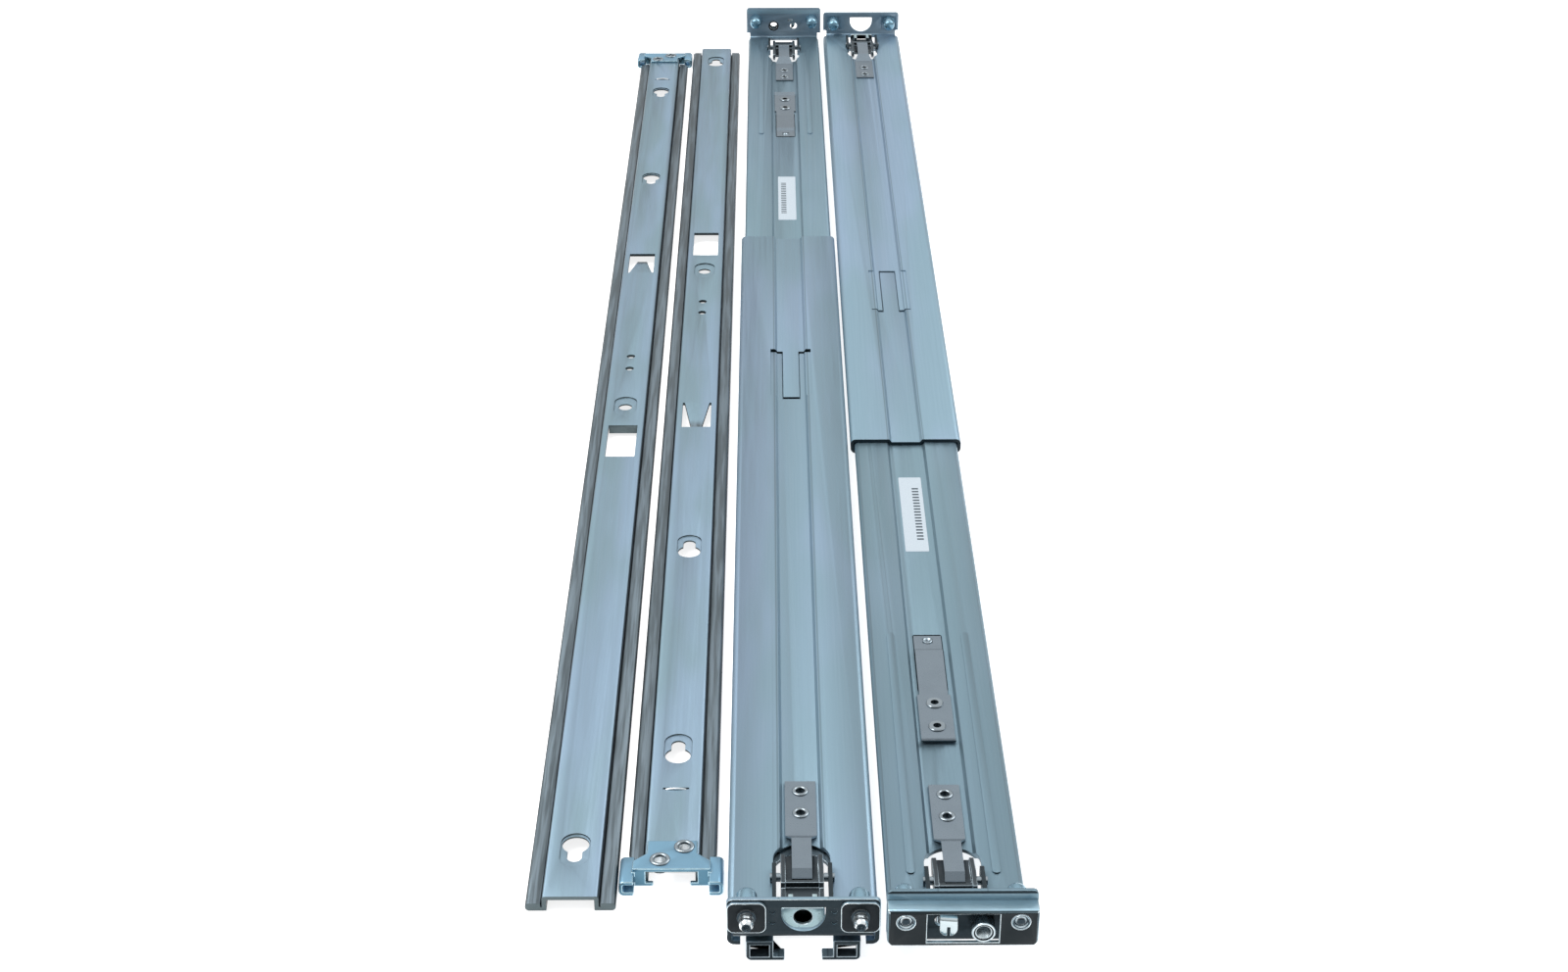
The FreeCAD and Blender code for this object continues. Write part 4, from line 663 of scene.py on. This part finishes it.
def threaded_socket(name):
    """One turned socket on the middle line of the node, from its inner face outwards."""
    low, high, way, near, _ = placed(name)
    barrel = turned(SOCKET, ((low[0] + high[0]) / 2, near, (low[2] + high[2]) / 2), "y", way)
    set_in(surface(name + "_turned", [barrel]), name, [THREAD, EDGES["bright"]])


def spring_rivets(name):
    """Two hollow rivets on the node's middle line, a head's radius in from either end."""
    low, high = box_mm(name)
    middle, head = (low[0] + high[0]) / 2, SPRING_RIVET[0]
    pair = [turned(rolled_rivet(high[2] - low[2], *SPRING_RIVET), (middle, y, low[2]), "z")
            for y in (low[1] + head, high[1] - head)]
    set_in(surface(name + "_rolled", pair), name, [finish_of(name), finish_of(name)])


def bracket_rivets(name):
    """Two hollow rivets, a head's radius in from the node's low and from its high corner, their
    bores painted pale as light seen through them.
    """
    low, high = box_mm(name)
    head = BRACKET_RIVET[0]
    pair = [turned(rolled_rivet(high[2] - low[2], *BRACKET_RIVET), (x, y, low[2]), "z")
            for x, y in ((low[0] + head, low[1] + head), (high[0] - head, high[1] - head))]
    set_in(surface(name + "_rolled", pair), name, [finish_of(name), SEEN_THROUGH_LIGHT])


def plate_highlight_strips(side):
    """Thin pale strips of painted highlight round the two pads of a rear rack plate, each half
    the pads' pitch from its middle, and one over the plate's own sides and top."""
    name = "%s_rear_channel" % side
    low, high, way, _, far = placed(name)
    face = far - way * STRIP_SUNK
    middle = (low[0] + high[0]) / 2
    lines = [wire(round_box((middle + at - PAD_HALF, PAD_LOW),
                            (middle + at + PAD_HALF, PAD_HIGH), PAD_CORNER, face), PAD_STRIP)
             for at in (-PAD_AT, PAD_AT)]
    outline = round_box((low[0] + PLATE_INSET, PLATE_LOW),
                        (high[0] - PLATE_INSET, high[2] - PLATE_INSET), PLATE_CORNER,
                        face - way * PAD_STANDS, False)
    lines.append(wire(outline, PLATE_STRIP, False))
    set_in(surface("%s_rear_plate_edges" % side, lines), name, [EDGES["bright"]], False)


def louver_lip(side):
    """The lip of the small louver near the end bracket, painted pale as light seen through the
    slit: a strip across the slit whose height above the web is its rise times one less the
    square of the way out to its end."""
    name = "%s_inner_member" % side
    high = box_mm(name)[1]
    rivets_low, rivets_high, way, _, _ = placed("%s_bracket_rivets" % side)
    middle = (rivets_low[0] + rivets_high[0]) / 2
    place = (rivets_low[1] + rivets_high[1]) / 2 - way * (SLIT_BACK - SLIT_HALF)
    across = np.linspace(-1, 1, 17)
    arch = np.stack([middle + LIP_HALF * across, place + 0 * across,
                     high[2] - LIP_SUNK + LIP_RISE * (1 - across ** 2)], axis=-1)
    set_in(surface("%s_louver_lip" % side, [wire(arch, LIP_STRIP, False)]), name, [SEEN_THROUGH_LIGHT],
           False)


def spring_eyelet(side):
    """The turned eyelet on the middle line of the lock spring, near its free end."""
    name = "%s_lock_spring" % side
    low, high, way, near, _ = placed(name)
    ring = turned(EYELET, ((low[0] + high[0]) / 2, near + way * EYELET_IN,
                           low[2] + EYELET_UP), "z")
    set_in(surface("%s_lock_spring_eyelet" % side, [ring]), name,
           [EDGES["steel"], THREAD], False)


for side in SIDES:
    rack_pins("%s_rear_rack_pins" % side, REAR_PIN)
    rack_pins("%s_front_rack_pins" % side, FRONT_PIN)
    threaded_socket("%s_thumbscrew_socket" % side)
    spring_rivets("%s_front_latch_spring_rivets" % side)
    spring_rivets("%s_rear_latch_spring_rivets" % side)
    bracket_rivets("%s_bracket_rivets" % side)
    plate_highlight_strips(side)
    louver_lip(side)
    spring_eyelet(side)


# ---------------------------------------------------------------- floor, light, camera

# In metres: half the floor's width, its gap under the set, and the side of a lamp.
FLOOR_REACH = 6.0
FLOOR_GAP = 0.0002
LAMP_SIZE = 1.2

# Strengths: the floor's own glow, the grey world that lights the set, and the sky that metal
# mirrors, as the heights between which it brightens and its strength at either.
GLOW = 0.8
WORLD_LEVEL = 0.45
MIRRORED_SKY = (0.26, 0.46, 0.5, 1.0)

# The camera: its place in mm, across from the middle of the set, along and up, how many
# degrees it looks down and to the right, and its lens and film width in mm.
EYE = (-0.7, -908.2, 438.1)
LOOK_DOWN, LOOK_RIGHT = 29.1, 0.41
LENS, FILM = 54, 36


def floor():
    """Pale floor that keeps the set's shadow and looks white."""
    material = bpy.data.materials.new("white paper sweep")
    material.use_nodes = True
    tree = material.node_tree
    tree.nodes.clear()
    path = node(tree, "ShaderNodeLightPath").outputs
    seen = either(tree, path["Is Camera Ray"], path["Is Glossy Ray"],
                  path["Is Transmission Ray"])
    matt = node(tree, "ShaderNodeBsdfDiffuse", {"Color": linear("#f4f4f4")})
    glow = node(tree, "ShaderNodeEmission", {"Color": (1, 1, 1, 1), "Strength": GLOW})
    lit = node(tree, "ShaderNodeAddShader", {}, {0: matt.outputs[0], 1: glow.outputs[0]})
    shown = node(tree, "ShaderNodeMixShader", {},
                 {0: seen, 1: matt.outputs[0], 2: lit.outputs[0]})
    node(tree, "ShaderNodeOutputMaterial", {}, {"Surface": shown.outputs[0]})
    reach = FLOOR_REACH
    mesh = bpy.data.meshes.new("floor")
    mesh.from_pydata([(-reach, -reach, 0), (reach, -reach, 0), (reach, reach, 0),
                      (-reach, reach, 0)], [], [(0, 1, 2, 3)])
    mesh.materials.append(material)
    plane = bpy.data.objects.new("floor", mesh)
    bpy.context.scene.collection.objects.link(plane)
    plane.location.z = CAD_BOX[0][2] - FLOOR_GAP


def world():
    """White behind the set; a plain grey level for what it lights, and for what the metal
    mirrors a white sky that dims towards the horizon."""
    made = bpy.data.worlds.new("studio")
    bpy.context.scene.world = made
    made.use_nodes = True
    tree = made.node_tree
    tree.nodes.clear()
    path = node(tree, "ShaderNodeLightPath").outputs
    seen = either(tree, path["Is Camera Ray"], path["Is Transmission Ray"])
    place = node(tree, "ShaderNodeTexCoord")
    height = parts(tree, place.outputs["Generated"])[2]
    dim = node(tree, "ShaderNodeBackground", {"Color": (1, 1, 1, 1), "Strength": WORLD_LEVEL})
    sky = node(tree, "ShaderNodeBackground", {"Color": (1, 1, 1, 1)},
               {"Strength": spread(tree, height, *MIRRORED_SKY)})
    white = node(tree, "ShaderNodeBackground", {"Color": (1, 1, 1, 1), "Strength": 1.0})
    mirrored = node(tree, "ShaderNodeMixShader", {},
                    {0: path["Is Glossy Ray"], 1: dim.outputs[0], 2: sky.outputs[0]})
    mixed = node(tree, "ShaderNodeMixShader", {},
                 {0: seen, 1: mirrored.outputs[0], 2: white.outputs[0]})
    node(tree, "ShaderNodeOutputWorld", {}, {"Surface": mixed.outputs[0]})


def lamp(name, place, watts):
    """A square soft lamp at place, looking at the origin of the frame."""
    data = bpy.data.lights.new(name, "AREA")
    data.size = LAMP_SIZE
    data.energy = watts
    made = bpy.data.objects.new(name, data)
    bpy.context.scene.collection.objects.link(made)
    away = -np.array(place)
    made.location = place
    made.rotation_euler = (math.atan2(math.hypot(away[0], away[1]), -away[2]), 0,
                           math.atan2(away[1], away[0]) - math.pi / 2)


def camera():
    """Camera in front of and above the near ends."""
    data = bpy.data.cameras.new("camera")
    data.lens = LENS
    data.sensor_width = FILM
    data.clip_start = 0.01
    made = bpy.data.objects.new("camera", data)
    bpy.context.scene.collection.objects.link(made)
    middle = (CAD_BOX[0][0] + CAD_BOX[1][0]) / 2
    made.location = (middle + EYE[0] * MM, EYE[1] * MM, EYE[2] * MM)
    made.rotation_euler = (math.radians(90 - LOOK_DOWN), 0, math.radians(-LOOK_RIGHT))
    bpy.context.scene.camera = made


floor()
world()
lamp("key", (-0.9, -0.3, 1.6), 22)
lamp("fill", (1.2, 0.6, 1.4), 10)
camera()
bpy.context.scene.view_settings.view_transform = "Standard"
